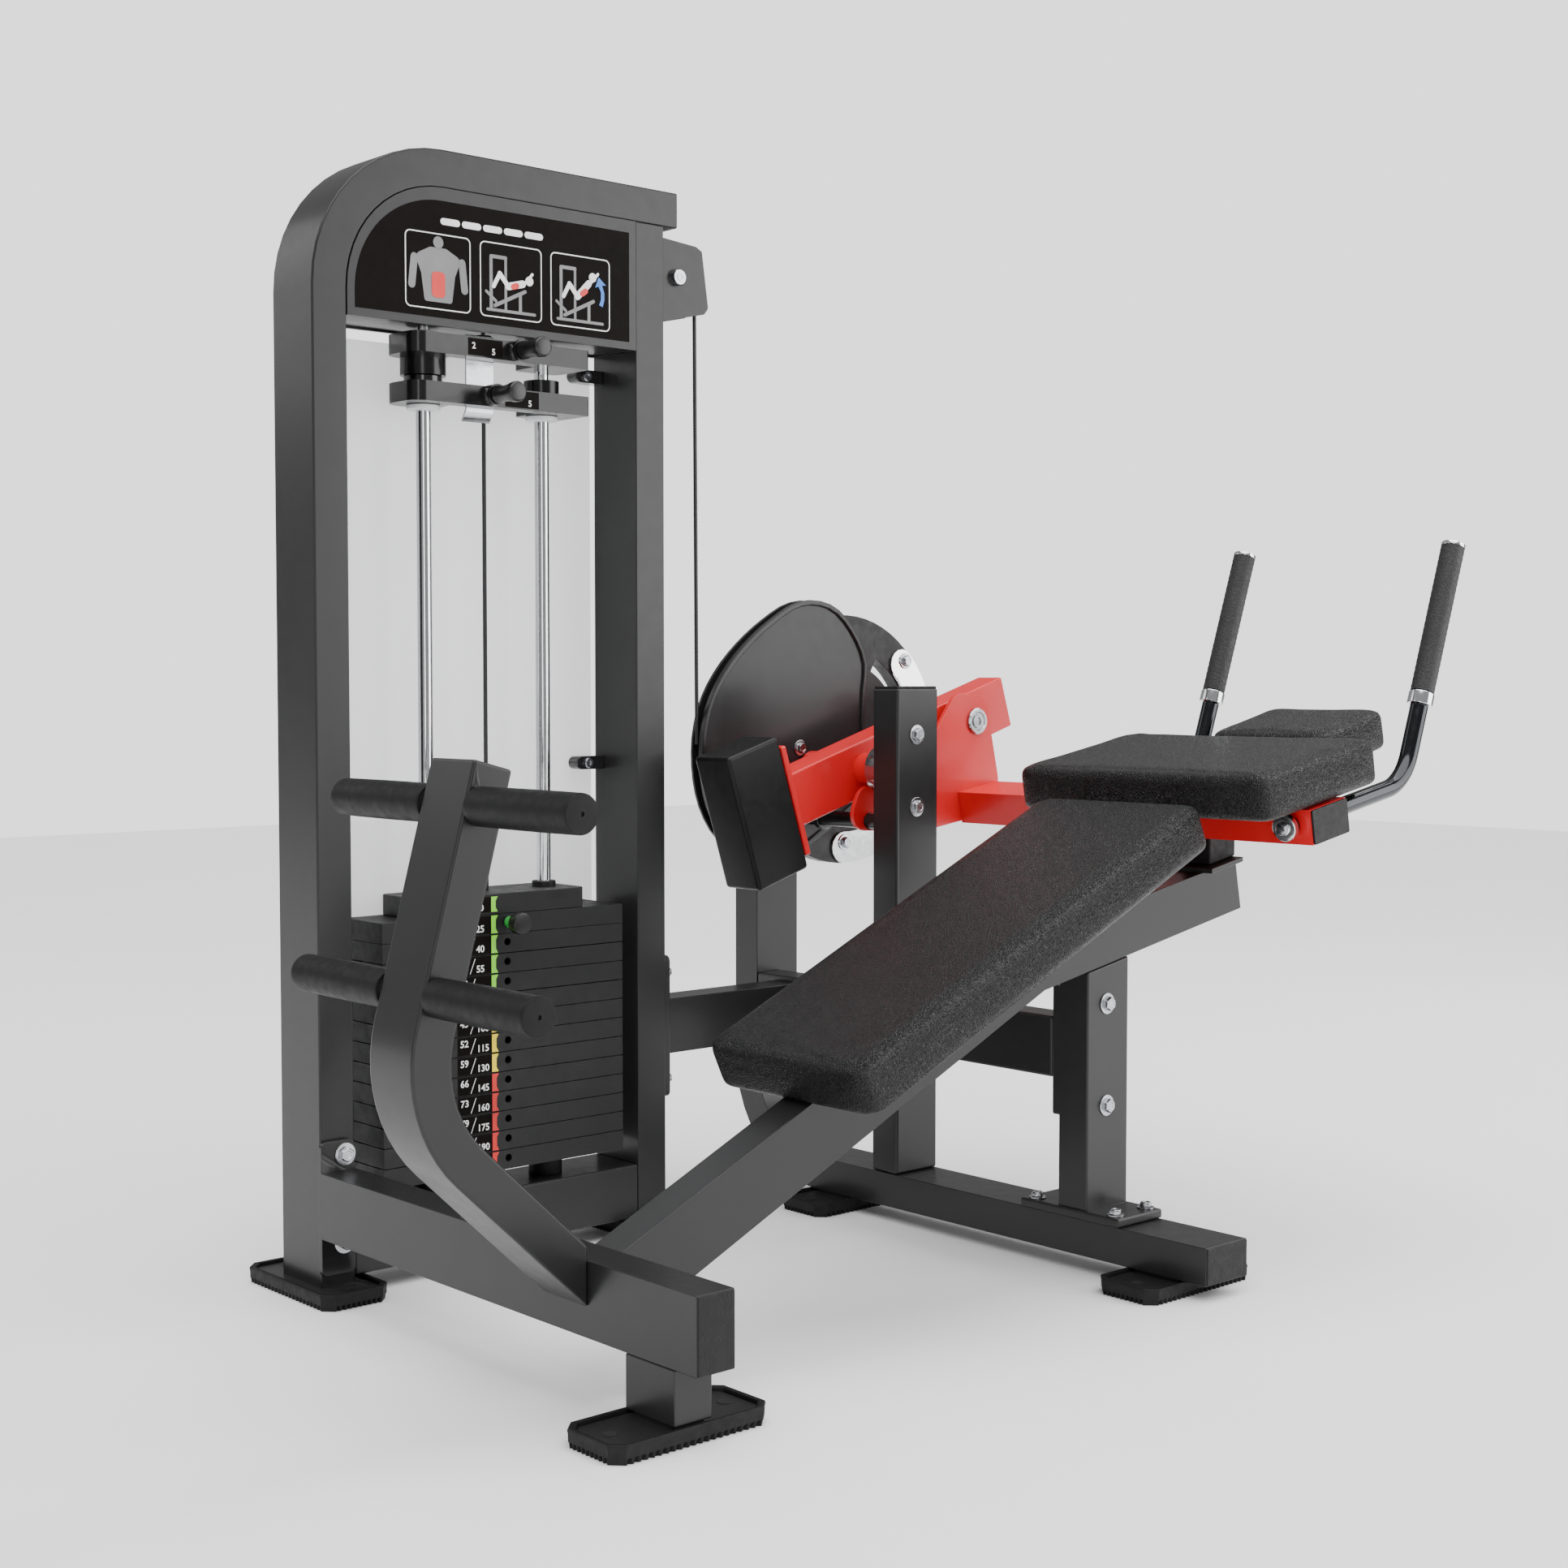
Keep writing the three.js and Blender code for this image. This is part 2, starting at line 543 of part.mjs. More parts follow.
const stopPlate = (lift) => [
  [stopFrom, highTop(stopFrom) - 1 + lift], [stopTo, highTop(stopTo) - 1 + lift],
  [stopTo, highTop(stopTo) + 6 + lift], [stopFrom, highTop(stopFrom) + 6 + lift],
];
node('bench_beam', join(
  alongY([
    [beamStart, BEAM_FLOOR], [floorX, BEAM_FLOOR], crossing(lowUnder, highUnder),
    [BEAM_END, highUnder(BEAM_END)], endTop, [webTop, highTop(webTop)], [webTop, lowTop(webTop)],
    [beamStart, lowTop(beamStart)],
  ], BENCH_Y - benchHalf, BENCH_Y + benchHalf),
  alongY(stopPlate(0), BENCH_Y - ARM_HALF, BENCH_Y + ARM_HALF),
), PAINT_BLACK);

const tubeUnder = slopeAt(PAD_TILT, [1121, 586]);
const bumperX = [1144, 1204];
node('bench_stop_bumper', alongY([
  [bumperX[0], highTop(bumperX[0]) + 6 + GAP], [bumperX[1], highTop(bumperX[1]) + 6 + GAP],
  [bumperX[1], tubeUnder(bumperX[1]) - 1], [bumperX[0], tubeUnder(bumperX[0]) - 1],
], BENCH_Y - 27, BENCH_Y + 27), RUBBER);

// Cushion: a rounded slab laid along a slope, given its low top corner.
function cushion([x, z], tilt, length, thick, y0, y1, corner) {
  return new THREE.ExtrudeGeometry(
    new THREE.Shape(outline(rect(0, length, y0, y1, corner), 5)),
    { depth: thick, bevelEnabled: false },
  ).translate(0, 0, -thick).rotateY(-tilt).translate(x, 0, z);
}
node('bench_pad', cushion(
  PAD_LOW, BENCH_SLOPE, PAD_LENGTH, PAD_THICK, BENCH_Y - 145, BENCH_Y + 145, 24), UPHOLSTERY);

// ---------------------------------------------------------------- rear frame

const REAR_BACK_Y = 210;
const REAR_POST_Y = 157;
const POST_TOP = 800;
node('rear_frame', join(
  alongX([
    [-733, REAR_BASE_Z[0]], [REAR_BACK_Y, REAR_BASE_Z[0], 188], [REAR_BACK_Y, POST_TOP],
    [REAR_POST_Y, POST_TOP], [REAR_POST_Y, REAR_BASE_Z[1], 135], [-733, REAR_BASE_Z[1]],
  ], ...REAR_X, 10),
  footPlate(REAR_X_MID, -648, true),
  footPlate(REAR_X_MID, -14, true),
  block(REAR_X[0] + 4, REAR_X[1] - 4, -685, -611, FOOT_PLATE_TOP - 1, FOOT_HIGH + 1),
  block(REAR_X[0] + 4, REAR_X[1] - 4, -51, 23, FOOT_PLATE_TOP - 1, FOOT_HIGH + 1),
), PAINT_BLACK);

const CROSS_X = [REAR_X[0], REAR_X[0] + BEAM_WIDE];
const CROSS_Z = [262, 347];
const SHAFT_POST_Y = [-160, -107];
const BENCH_POST_Y = [-530, -478];
const BENCH_POST_PLATE_Y = -466;
node('bench_post', join(
  alongY([
    [REAR_X[0], 84], [REAR_X[1], 84],
    [REAR_X[1], highUnder(REAR_X[1]) - GAP], [REAR_X[0], highUnder(REAR_X[0]) - GAP],
  ], ...BENCH_POST_Y),
  block(REAR_X[0] - 5, REAR_X[1] + 3, -590, -413, REAR_BASE_Z[1] + GAP, 86),
  block(...REAR_X, BENCH_POST_Y[1] - 1, BENCH_POST_PLATE_Y, 211, 391),
), PAINT_BLACK);
// The shaft post and the two cross beams welded to its faces.
node('shaft_post', join(
  block(...REAR_X, ...SHAFT_POST_Y, REAR_BASE_Z[1] + GAP, POST_TOP),
  block(...CROSS_X, BENCH_POST_PLATE_Y + GAP, SHAFT_POST_Y[0] + 1, ...CROSS_Z),
  block(...CROSS_X, SHAFT_POST_Y[1] - 1, REAR_POST_Y - GAP, ...CROSS_Z),
), PAINT_BLACK);
const TIE_Y = [67, 119];
node('tie_beam', join(
  block(postBack + 12, CROSS_X[0] - GAP, ...TIE_Y, 256, 338),
  alongX(rect(47, 139, 196, 406, 8), postBack, postBack + 13, 3),
), PAINT_BLACK);

// ---------------------------------------------------------------- swing arm, turning about the shaft

const axisFrame = (tilt) => {
  const u = [Math.cos(tilt), Math.sin(tilt)];
  return (along, across) => [AXIS_X + along * u[0] - across * u[1], AXIS_Z + along * u[1] + across * u[0]];
};
const lever = axisFrame(LEVER_TILT);
const box2 = (frame, u0, u1, v0, v1, r = 0) => [
  [...frame(u0, v0), r], [...frame(u1, v0), r], [...frame(u1, v1), r], [...frame(u0, v1), r]];
const BLOCK_Y = [LEVER_Y[0] - 13, LEVER_Y[1] + 13];
const SHAFT_Y = [SHAFT_POST_Y[1] + 1, REAR_POST_Y - 1];
const CAP_AT = lever(242, -3);
const GUSSET_Y = [-60, -52];
node('swing_lever', join(
  alongY(box2(lever, -154, 336, -41.5, 41.5), ...LEVER_Y),
  alongY(box2(lever, -163.5, -153, -82, 89.5), ...BLOCK_Y),
  barY(AXIS_X, AXIS_Z, SHAFT_R, ...SHAFT_Y, 24),
  barY(AXIS_X, AXIS_Z, 24, -80, LEVER_Y[0] + 1, 24),
  barY(AXIS_X, AXIS_Z, 24, LEVER_Y[1] - 1, CAM_Y[0] - 2, 24),
  barY(...CAP_AT, 20, GUSSET_Y[1] + GAP, LEVER_Y[0] + 1, 20),
), PAINT_RED);

node('counterweight', alongY(box2(lever, -266, -164, -100, 107, 6), ...BLOCK_Y, 3), CAST);

const DRIVE_ROD = [918, 597];
node('arm_gusset', cut(
  alongY([
    [CAP_AT[0] - 47, CAP_AT[1] + 46, 32], [CAP_AT[0] + 22, CAP_AT[1] + 40, 26], [1206, 655, 8], [1200, 606],
    [1121, 589], [1060, 580], [870, 583, 26], [899, 652, 30], [1003, 652, 30],
  ], ...GUSSET_Y, 5),
  barY(...DRIVE_ROD, 12.4, GUSSET_Y[0] - 1, GUSSET_Y[1] + 1, 20),
), PAINT_RED);
node('drive_rod', barY(...DRIVE_ROD, 12, -84, CAM_Y[0] - GAP, 20), PAINT_BLACK);

// Bearings: a flanged housing bolted to each post, with the shaft running in its bore.
function bearing(face, towards) {
  const flange = [
    [AXIS_X - 34, AXIS_Z + 20, 20], [AXIS_X - 14, AXIS_Z + 66, 14], [AXIS_X + 14, AXIS_Z + 66, 14],
    [AXIS_X + 34, AXIS_Z + 20, 20], [AXIS_X + 34, AXIS_Z - 20, 20], [AXIS_X + 14, AXIS_Z - 66, 14],
    [AXIS_X - 14, AXIS_Z - 66, 14], [AXIS_X - 34, AXIS_Z - 20, 20]];
  const span = (a, b) => [Math.min(face + towards * a, face + towards * b),
    Math.max(face + towards * a, face + towards * b)];
  return cut(
    join(alongY(flange, ...span(GAP, 11), 3), barY(AXIS_X, AXIS_Z, 38, ...span(2, 24), 28)),
    barY(AXIS_X, AXIS_Z, SHAFT_R + 0.6, ...span(-1, 30), 24),
  );
}
node('shaft_bearing_near', bearing(SHAFT_POST_Y[1], 1), STEEL);
node('shaft_bearing_far', bearing(REAR_POST_Y, -1), STEEL);

// Cam: a spiral disc between two flanges, with the rope anchored low on its groove.
const camCurve = new THREE.CatmullRomCurve3([
  [1045, 838], [1022, 885], [978, 926], [932, 938], [890, 932], [845, 909], [797, 876],
  [752, 834], [720, 789],
  [704, 745], [699, 700], [704, 650], [717, 612], [742, 575], [785, 545], [840, 534], [900, 545], [960, 575],
  [1015, 606], [1048, 632], [1046, 680], [1040, 738], [1041, 796],
].map(([x, z]) => at(x, 0, z)), true);
const CAM_STEPS = 56;
function camOutline(inset) {
  const points = [];
  for (let k = 0; k < CAM_STEPS; k += 1) {
    const p = camCurve.getPointAt(k / CAM_STEPS);
    const t = camCurve.getTangentAt(k / CAM_STEPS);
    points.push([p.x - t.z * inset, p.z + t.x * inset]);
  }
  return points;
}
const FLANGE = 5;
const CORE_INSET = 24;
const ROPE_INSET = CORE_INSET - ROPE_R - 0.6;
node('cam_disc', cut(
  join(
    alongY(camOutline(0), CAM_Y[0], CAM_Y[0] + FLANGE),
    alongY(camOutline(CORE_INSET), CAM_Y[0] + FLANGE - 1, CAM_Y[1] - FLANGE + 1),
    alongY(camOutline(0), CAM_Y[1] - FLANGE, CAM_Y[1]),
  ),
  barY(AXIS_X, AXIS_Z, SHAFT_R + GAP, CAM_Y[0] - 1, CAM_Y[1] + 1, 24),
), PAINT_BLACK);

const CAM_ROPE = [0.24, 0.5];
const ropeRow = [];
for (let k = 0; k <= 24; k += 1) {
  const s = CAM_ROPE[0] + (CAM_ROPE[1] - CAM_ROPE[0]) * k / 24;
  const p = camCurve.getPointAt(s);
  const t = camCurve.getTangentAt(s);
  ropeRow.push(at(p.x - t.z * ROPE_INSET, STACK_Y, p.z + t.x * ROPE_INSET));
}
node('cam_cable', tube(new THREE.CatmullRomCurve3(ropeRow), ROPE_R, 8, 20), ROPE);

// Range plate: a slotted quadrant behind the cam, faced with a bolted bright strip.
const QUADRANT = [1021, 717];
const QUADRANT_R = 200;
const QUADRANT_Y = [CAM_Y[1] + GAP, 131];
const STRIP_THICK = 4;
function arcBand(r0, r1, a0, a1, count) {
  const inner = [];
  const outer = [];
  for (let k = 0; k <= count; k += 1) {
    const a = (a0 + (a1 - a0) * k / count) * Math.PI / 180;
    outer.push([QUADRANT[0] + r1 * Math.cos(a), QUADRANT[1] + r1 * Math.sin(a)]);
    inner.unshift([QUADRANT[0] + r0 * Math.cos(a), QUADRANT[1] + r0 * Math.sin(a)]);
  }
  return [...outer, ...inner];
}
function roundedBand(r0, r1, a0, a1, count) {
  const band = arcBand(r0, r1, a0, a1, count);
  const mid = (r0 + r1) / 2;
  const half = (r1 - r0) / 2;
  const cap = (degrees, from) => {
    const a = degrees * Math.PI / 180;
    const points = [];
    for (let k = 1; k < 8; k += 1) {
      const b = a + from + Math.PI * k / 8;
      points.push([
        QUADRANT[0] + mid * Math.cos(a) + half * Math.cos(b),
        QUADRANT[1] + mid * Math.sin(a) + half * Math.sin(b)]);
    }
    return points;
  };
  return [...band.slice(0, count + 1), ...cap(a1, 0), ...band.slice(count + 1), ...cap(a0, Math.PI)];
}
function quadrantArc(a0, a1, count) {
  const points = [];
  for (let k = 0; k <= count; k += 1) {
    const a = (a0 + (a1 - a0) * k / count) * Math.PI / 180;
    points.push([QUADRANT[0] + QUADRANT_R * Math.cos(a), QUADRANT[1] + QUADRANT_R * Math.sin(a)]);
  }
  return points;
}
node('range_plate', cut(
  alongY([...quadrantArc(-118, 118, 40), [895, 740, 30], [880, 677, 30], [895, 610, 30]], ...QUADRANT_Y, 4),
  alongY(arcBand(124, 147, -52, 62, 20), QUADRANT_Y[0] - 1, QUADRANT_Y[1] + 1),
  barY(AXIS_X, AXIS_Z, SHAFT_R + GAP, QUADRANT_Y[0] - 1, QUADRANT_Y[1] + 1, 24),
), CAST);
node('range_strip', alongY(
  roundedBand(149, QUADRANT_R - 0.5, -92, 44, 24),
  QUADRANT_Y[0] - GAP - STRIP_THICK, QUADRANT_Y[0] - GAP), CHROME);

// Pad tube across the machine, with the head-pad bar welded to its high side.
const pad = (along, up) => [
  1121 + along * Math.cos(PAD_TILT) - up * Math.sin(PAD_TILT),
  586 + along * Math.sin(PAD_TILT) + up * Math.cos(PAD_TILT)];
const PAD_TUBE = [84, 49.5];
const PAD_TUBE_Y = [-722, GUSSET_Y[0] - GAP];
const handleStart = [1105, 610];
const handleYs = { near: BENCH_Y + 3 - 189, far: BENCH_Y + 3 + 189 };
const onPadLine = (x) => handleStart[1] + (x - handleStart[0]) * Math.tan(PAD_TILT);
const handleRun = (x0, x1, y, r, count) => tube(
  new THREE.LineCurve3(at(x0, y, onPadLine(x0)), at(x1, y, onPadLine(x1))), r, count, 1);
const HEAD_LOW = [1307, 732];
const HEAD_TILT = 13.2 * Math.PI / 180;
const HEAD_LENGTH = 173;
const HEAD_THICK = 60;
const head = (along, up) => [
  HEAD_LOW[0] + along * Math.cos(HEAD_TILT) - up * Math.sin(HEAD_TILT),
  HEAD_LOW[1] + along * Math.sin(HEAD_TILT) + up * Math.cos(HEAD_TILT)];
const underHead = -HEAD_THICK - GAP;
node('pad_tube', cut(
  join(
    alongY([pad(0, 0), pad(PAD_TUBE[0], 0), pad(...PAD_TUBE), pad(0, PAD_TUBE[1])], ...PAD_TUBE_Y),
    alongY([
      pad(PAD_TUBE[0] - 2, 22), pad(PAD_TUBE[0] + 60, 20), head(20, underHead - 9), head(130, underHead - 9),
      head(130, underHead), head(10, underHead), pad(PAD_TUBE[0] + 56, 30), pad(PAD_TUBE[0] - 2, 32),
    ], -530, -470),
  ),
  handleRun(1080, 1240, handleYs.near, 14.2, 16),
  handleRun(1080, 1240, handleYs.far, 14.2, 16),
), PAINT_RED);

const BACK_LOW = [1005, 683.5];
node('back_pad', cushion(BACK_LOW, PAD_TILT, 272, 64.5, -726, -274, 24), UPHOLSTERY);
node('head_pad', cushion(HEAD_LOW, HEAD_TILT, HEAD_LENGTH, HEAD_THICK, -606, -394, 24), UPHOLSTERY);

// Handles: a bent tube turning in the pad tube, with a grip sleeve on its upright end.
const HANDLE_R = 13;
const gripLow = [1437, 794];
const gripHigh = [1508, 992];
const bendAt = [1389, onPadLine(1389)];
const upLine = at(gripHigh[0] - bendAt[0], 0, gripHigh[1] - bendAt[1]).normalize();
const alongHandle = (d) => (y) => at(bendAt[0] + upLine.x * d, y, bendAt[1] + upLine.z * d);
const gripFrom = Math.hypot(gripLow[0] - bendAt[0], gripLow[1] - bendAt[1]);
const gripTo = Math.hypot(gripHigh[0] - bendAt[0], gripHigh[1] - bendAt[1]) + 24;
Object.entries(handleYs).forEach(([side, y]) => {
  const top = alongHandle(gripTo - 8)(y);
  node(`handle_tube_${side}`, join(
    tube(bentPath([
      [at(1103, y, onPadLine(1103))],
      [at(bendAt[0], y, bendAt[1]), 75],
      [top],
    ]), HANDLE_R, 12, 14),
    handleRun(1098, 1108, y, 19, 20),
    tube(new THREE.LineCurve3(alongHandle(gripFrom - 20)(y), alongHandle(gripFrom - 1)(y)), 18.5, 20, 1),
  ), CHROME);
  node(`handle_grip_${side}`, cut(
    tube(new THREE.LineCurve3(alongHandle(gripFrom)(y), alongHandle(gripTo)(y)), 17.5, 20, 1),
    tube(
      new THREE.LineCurve3(alongHandle(gripFrom - 5)(y), alongHandle(gripTo - 6)(y)),
      HANDLE_R + 0.5, 20, 1),
  ), RUBBER);
});

export default model;
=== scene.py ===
import json
import math

import bmesh
import bpy
from mathutils import Matrix, Vector

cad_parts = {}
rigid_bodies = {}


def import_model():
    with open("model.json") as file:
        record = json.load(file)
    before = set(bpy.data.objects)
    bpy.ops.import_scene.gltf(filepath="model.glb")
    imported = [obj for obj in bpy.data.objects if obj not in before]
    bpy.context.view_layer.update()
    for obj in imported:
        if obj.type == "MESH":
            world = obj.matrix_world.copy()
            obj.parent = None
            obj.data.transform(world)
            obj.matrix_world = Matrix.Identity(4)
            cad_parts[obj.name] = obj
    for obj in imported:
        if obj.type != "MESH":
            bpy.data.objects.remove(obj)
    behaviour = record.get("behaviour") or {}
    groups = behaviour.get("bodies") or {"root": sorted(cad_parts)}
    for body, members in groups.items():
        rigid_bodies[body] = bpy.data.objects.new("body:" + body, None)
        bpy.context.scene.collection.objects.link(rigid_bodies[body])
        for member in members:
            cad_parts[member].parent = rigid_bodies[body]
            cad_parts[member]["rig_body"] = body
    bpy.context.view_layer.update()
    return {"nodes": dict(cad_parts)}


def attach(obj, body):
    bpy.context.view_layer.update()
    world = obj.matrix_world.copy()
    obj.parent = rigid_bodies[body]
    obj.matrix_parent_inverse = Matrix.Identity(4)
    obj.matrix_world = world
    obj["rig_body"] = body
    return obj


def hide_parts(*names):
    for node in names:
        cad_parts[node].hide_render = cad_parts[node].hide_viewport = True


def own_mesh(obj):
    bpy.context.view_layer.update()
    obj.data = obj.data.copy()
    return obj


# Looks of the abdominal crunch machine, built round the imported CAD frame. Metres, +Z up.
# Layout millimetres are the CAD part's own layout; at() turns them into the row frame.
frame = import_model()
NODES = frame["nodes"]
MM = 0.001
ORIGIN = Vector((-664.4, 261.5, 0.0))
STACK_X, STACK_Y = 320.0, 93.0
ROD_X = (222.0, 418.0)
SELECTOR_Z = 477.6
PLATE_PITCH = 27.46
STACK_TOP = 489.0
PANEL_Y = 41.3
FRONT, INWARD, UP, RIGHT = (0, -1, 0), (0, 1, 0), (0, 0, 1), (1, 0, 0)


def at(x, y, z):
    """A layout point in row-frame metres."""
    return (Vector((x, y, z)) + ORIGIN) * MM


# ------------------------------------------------------------------ camera and light

YAW, PITCH = math.radians(48.31), math.radians(-2.66)
CAMERA_PLACE, LENS = (-2.0824, -2.2239, 0.810), 50.62
camera_data = bpy.data.cameras.new("camera")
camera_data.lens = LENS
camera_data.sensor_width = 36.0
camera_data.clip_end = 60.0
camera = bpy.data.objects.new("camera", camera_data)
camera.location = CAMERA_PLACE
sight = Vector((math.cos(YAW) * math.cos(PITCH), math.sin(YAW) * math.cos(PITCH), math.sin(PITCH)))
camera.rotation_euler = sight.to_track_quat("-Z", "Y").to_euler()
bpy.context.scene.collection.objects.link(camera)
bpy.context.scene.camera = camera


def softbox(name, place, target, width, height, watts):
    data = bpy.data.lights.new(name, "AREA")
    data.shape = "RECTANGLE"
    data.size, data.size_y = width, height
    data.energy = watts
    lamp = bpy.data.objects.new(name, data)
    lamp.location = place
    lamp.rotation_euler = (Vector(target) - Vector(place)).to_track_quat("-Z", "Y").to_euler()
    bpy.context.scene.collection.objects.link(lamp)


# Place, target, width and height in metres, then watts.
softbox("light_right", (3.1, -3.3, 1.8), (0.1, 0, 0.75), 3.2, 3.0, 142)
softbox("light_left", (-4.2, 1.2, 2.2), (0, 0, 0.8), 1.2, 3.0, 15)
softbox("light_front", (-2.7, -2.9, 1.3), (0, 0, 0.75), 0.8, 1.8, 16)
softbox("light_high", (2.9, -0.3, 3.3), (0.1, -0.2, 0.6), 1.2, 2.4, 42)
softbox("light_back", (-2.2, 3.6, 2.6), (0, 0, 0.9), 2.0, 2.0, 18)

SKYLIGHT = 4.8
overhead = bpy.data.lights.new("light_overhead", "SUN")
overhead.energy = SKYLIGHT
overhead.angle = math.radians(80)
overhead_lamp = bpy.data.objects.new("light_overhead", overhead)
overhead_lamp.rotation_euler = (math.radians(12), math.radians(-8), 0)
bpy.context.scene.collection.objects.link(overhead_lamp)

# The camera sees a bright backdrop, while what it sheds on the machine is soft.
BACKDROP, FILL = 1.9, 0.34
world = bpy.data.worlds.new("studio")
world.use_nodes = True
sky = world.node_tree.nodes["Background"]
sky.inputs["Color"].default_value = (1.0, 1.0, 1.0, 1.0)
path = world.node_tree.nodes.new("ShaderNodeLightPath")
level = world.node_tree.nodes.new("ShaderNodeMapRange")
level.inputs["To Min"].default_value = FILL
level.inputs["To Max"].default_value = BACKDROP
world.node_tree.links.new(path.outputs["Is Camera Ray"], level.inputs["Value"])
world.node_tree.links.new(level.outputs["Result"], sky.inputs["Strength"])
bpy.context.scene.world = world

# ------------------------------------------------------------------ materials


class Look:
    """One node-based material being wired. Scales are per metre, distances in metres."""

    def __init__(self, name, base, rough, metal=0.0, **sockets):
        self.mat = bpy.data.materials.new(name)
        self.mat.use_nodes = True
        self.tree = self.mat.node_tree
        self.bsdf = self.tree.nodes["Principled BSDF"]
        self.base = base
        self.put("Base Color", (*base, 1.0))
        self.put("Roughness", rough)
        self.put("Metallic", metal)
        for key, value in sockets.items():
            self.put(key.replace("_", " "), value)
        self.where = self.tree.nodes.new("ShaderNodeTexCoord").outputs["Object"]

    def put(self, socket, value):
        self.bsdf.inputs[socket].default_value = value

    def wire(self, a, b):
        self.tree.links.new(a, b)

    def noise(self, scale, detail=3.0, rough=0.5):
        n = self.tree.nodes.new("ShaderNodeTexNoise")
        n.inputs["Scale"].default_value = scale
        n.inputs["Detail"].default_value = detail
        n.inputs["Roughness"].default_value = rough
        self.wire(self.where, n.inputs["Vector"])
        return n.outputs["Fac"]

    def cells(self, scale, feature="DISTANCE_TO_EDGE"):
        n = self.tree.nodes.new("ShaderNodeTexVoronoi")
        n.feature = feature
        n.inputs["Scale"].default_value = scale
        self.wire(self.where, n.inputs["Vector"])
        return n.outputs["Distance"]

    def spread(self, value, low, high, start=0.3, end=0.7):
        n = self.tree.nodes.new("ShaderNodeMapRange")
        for key, number in (("From Min", start), ("From Max", end), ("To Min", low), ("To Max", high)):
            n.inputs[key].default_value = number
        self.wire(value, n.inputs["Value"])
        return n.outputs["Result"]

    def mottle(self, value, other):
        """The base colour drifts to another one."""
        n = self.tree.nodes.new("ShaderNodeMix")
        n.data_type = "RGBA"
        n.inputs["A"].default_value = (*self.base, 1.0)
        n.inputs["B"].default_value = (*other, 1.0)
        self.wire(value, n.inputs["Factor"])
        self.wire(n.outputs["Result"], self.bsdf.inputs["Base Color"])

    def rough(self, value, low, high):
        self.wire(self.spread(value, low, high), self.bsdf.inputs["Roughness"])

    def bump(self, height, distance, strength, under=None):
        n = self.tree.nodes.new("ShaderNodeBump")
        n.inputs["Distance"].default_value = distance
        n.inputs["Strength"].default_value = strength
        self.wire(height, n.inputs["Height"])
        if under is not None:
            self.wire(under, n.inputs["Normal"])
        self.wire(n.outputs["Normal"], self.bsdf.inputs["Normal"])
        return n.outputs["Normal"]


def shade(colour, k):
    """The colour k times as bright."""
    return tuple(min(1.0, c * k) for c in colour)


# In each recipe low and high are the ends of the roughness, and base the colour.


def powder_coat(name, base, low, high, coat):
    look = Look(name, base, (low + high) / 2, Coat_Weight=coat, Coat_Roughness=0.12, Specular_IOR_Level=0.34)
    look.mottle(look.spread(look.noise(7.0, 4.0), 0.0, 1.0), shade(base, 1.18))
    look.rough(look.noise(55.0, 5.0, 0.6), low, high)
    return look.mat


def bright_metal(name, base, low, high, grain=900.0):
    look = Look(name, base, (low + high) / 2, 1.0)
    look.rough(look.noise(grain / 9, 4.0), low, high)
    look.mottle(look.spread(look.noise(11.0, 3.0), 0.0, 1.0), shade(base, 0.88))
    look.bump(look.noise(grain, 2.0), 0.00002, 0.25)
    return look.mat


def vinyl(name, base, scale=300.0, low=0.29, high=0.40):
    look = Look(name, base, 0.42, Specular_IOR_Level=0.30)
    look.mottle(look.spread(look.noise(24.0, 5.0), 0.0, 1.0), shade(base, 1.5))
    look.rough(look.noise(160.0, 4.0), low, high)
    folds = look.bump(look.noise(38.0, 3.0), 0.0009, 0.35)
    grain = look.bump(look.spread(look.cells(scale), 0.0, 1.0, 0.0, 0.45), 0.0012, 1.0, folds)
    look.bump(look.noise(1500.0, 2.0), 0.00014, 0.6, grain)
    return look.mat


def moulded(name, base, low, high, grain=700.0, depth=0.0001, **sockets):
    look = Look(name, base, (low + high) / 2, **sockets)
    look.mottle(look.spread(look.noise(16.0, 3.0), 0.0, 1.0), shade(base, 1.3))
    look.rough(look.noise(90.0, 4.0), low, high)
    look.bump(look.noise(grain, 3.0), depth, 0.6)
    return look.mat


def cast(name, base):
    look = Look(name, base, 0.42, Specular_IOR_Level=0.35)
    look.mottle(look.spread(look.noise(18.0, 6.0), 0.0, 1.0), shade(base, 1.35))
    look.rough(look.noise(70.0, 5.0), 0.33, 0.52)
    lumps = look.bump(look.noise(90.0, 4.0), 0.00035, 0.3)
    look.bump(look.noise(900.0, 3.0), 0.00010, 0.5, lumps)
    return look.mat


def knurl(name, base):
    look = Look(name, base, 0.6)
    look.mottle(look.spread(look.noise(40.0, 3.0), 0.0, 1.0), shade(base, 1.6))
    look.rough(look.noise(200.0, 3.0), 0.52, 0.7)
    look.bump(look.spread(look.cells(300.0, "F1"), 0.0, 1.0, 0.0, 0.6), 0.0005, 0.8)
    return look.mat


def rope_look(name, base):
    look = Look(name, base, 0.4, Coat_Weight=0.2)
    look.mottle(look.spread(look.noise(60.0, 2.0), 0.0, 1.0), shade(base, 1.8))
    n = look.tree.nodes.new("ShaderNodeTexWave")
    n.wave_type = "BANDS"
    n.bands_direction = "DIAGONAL"
    n.inputs["Scale"].default_value = 140.0
    n.inputs["Distortion"].default_value = 0.4
    look.wire(look.where, n.inputs["Vector"])
    look.bump(n.outputs["Fac"], 0.0003, 0.6)
    return look.mat


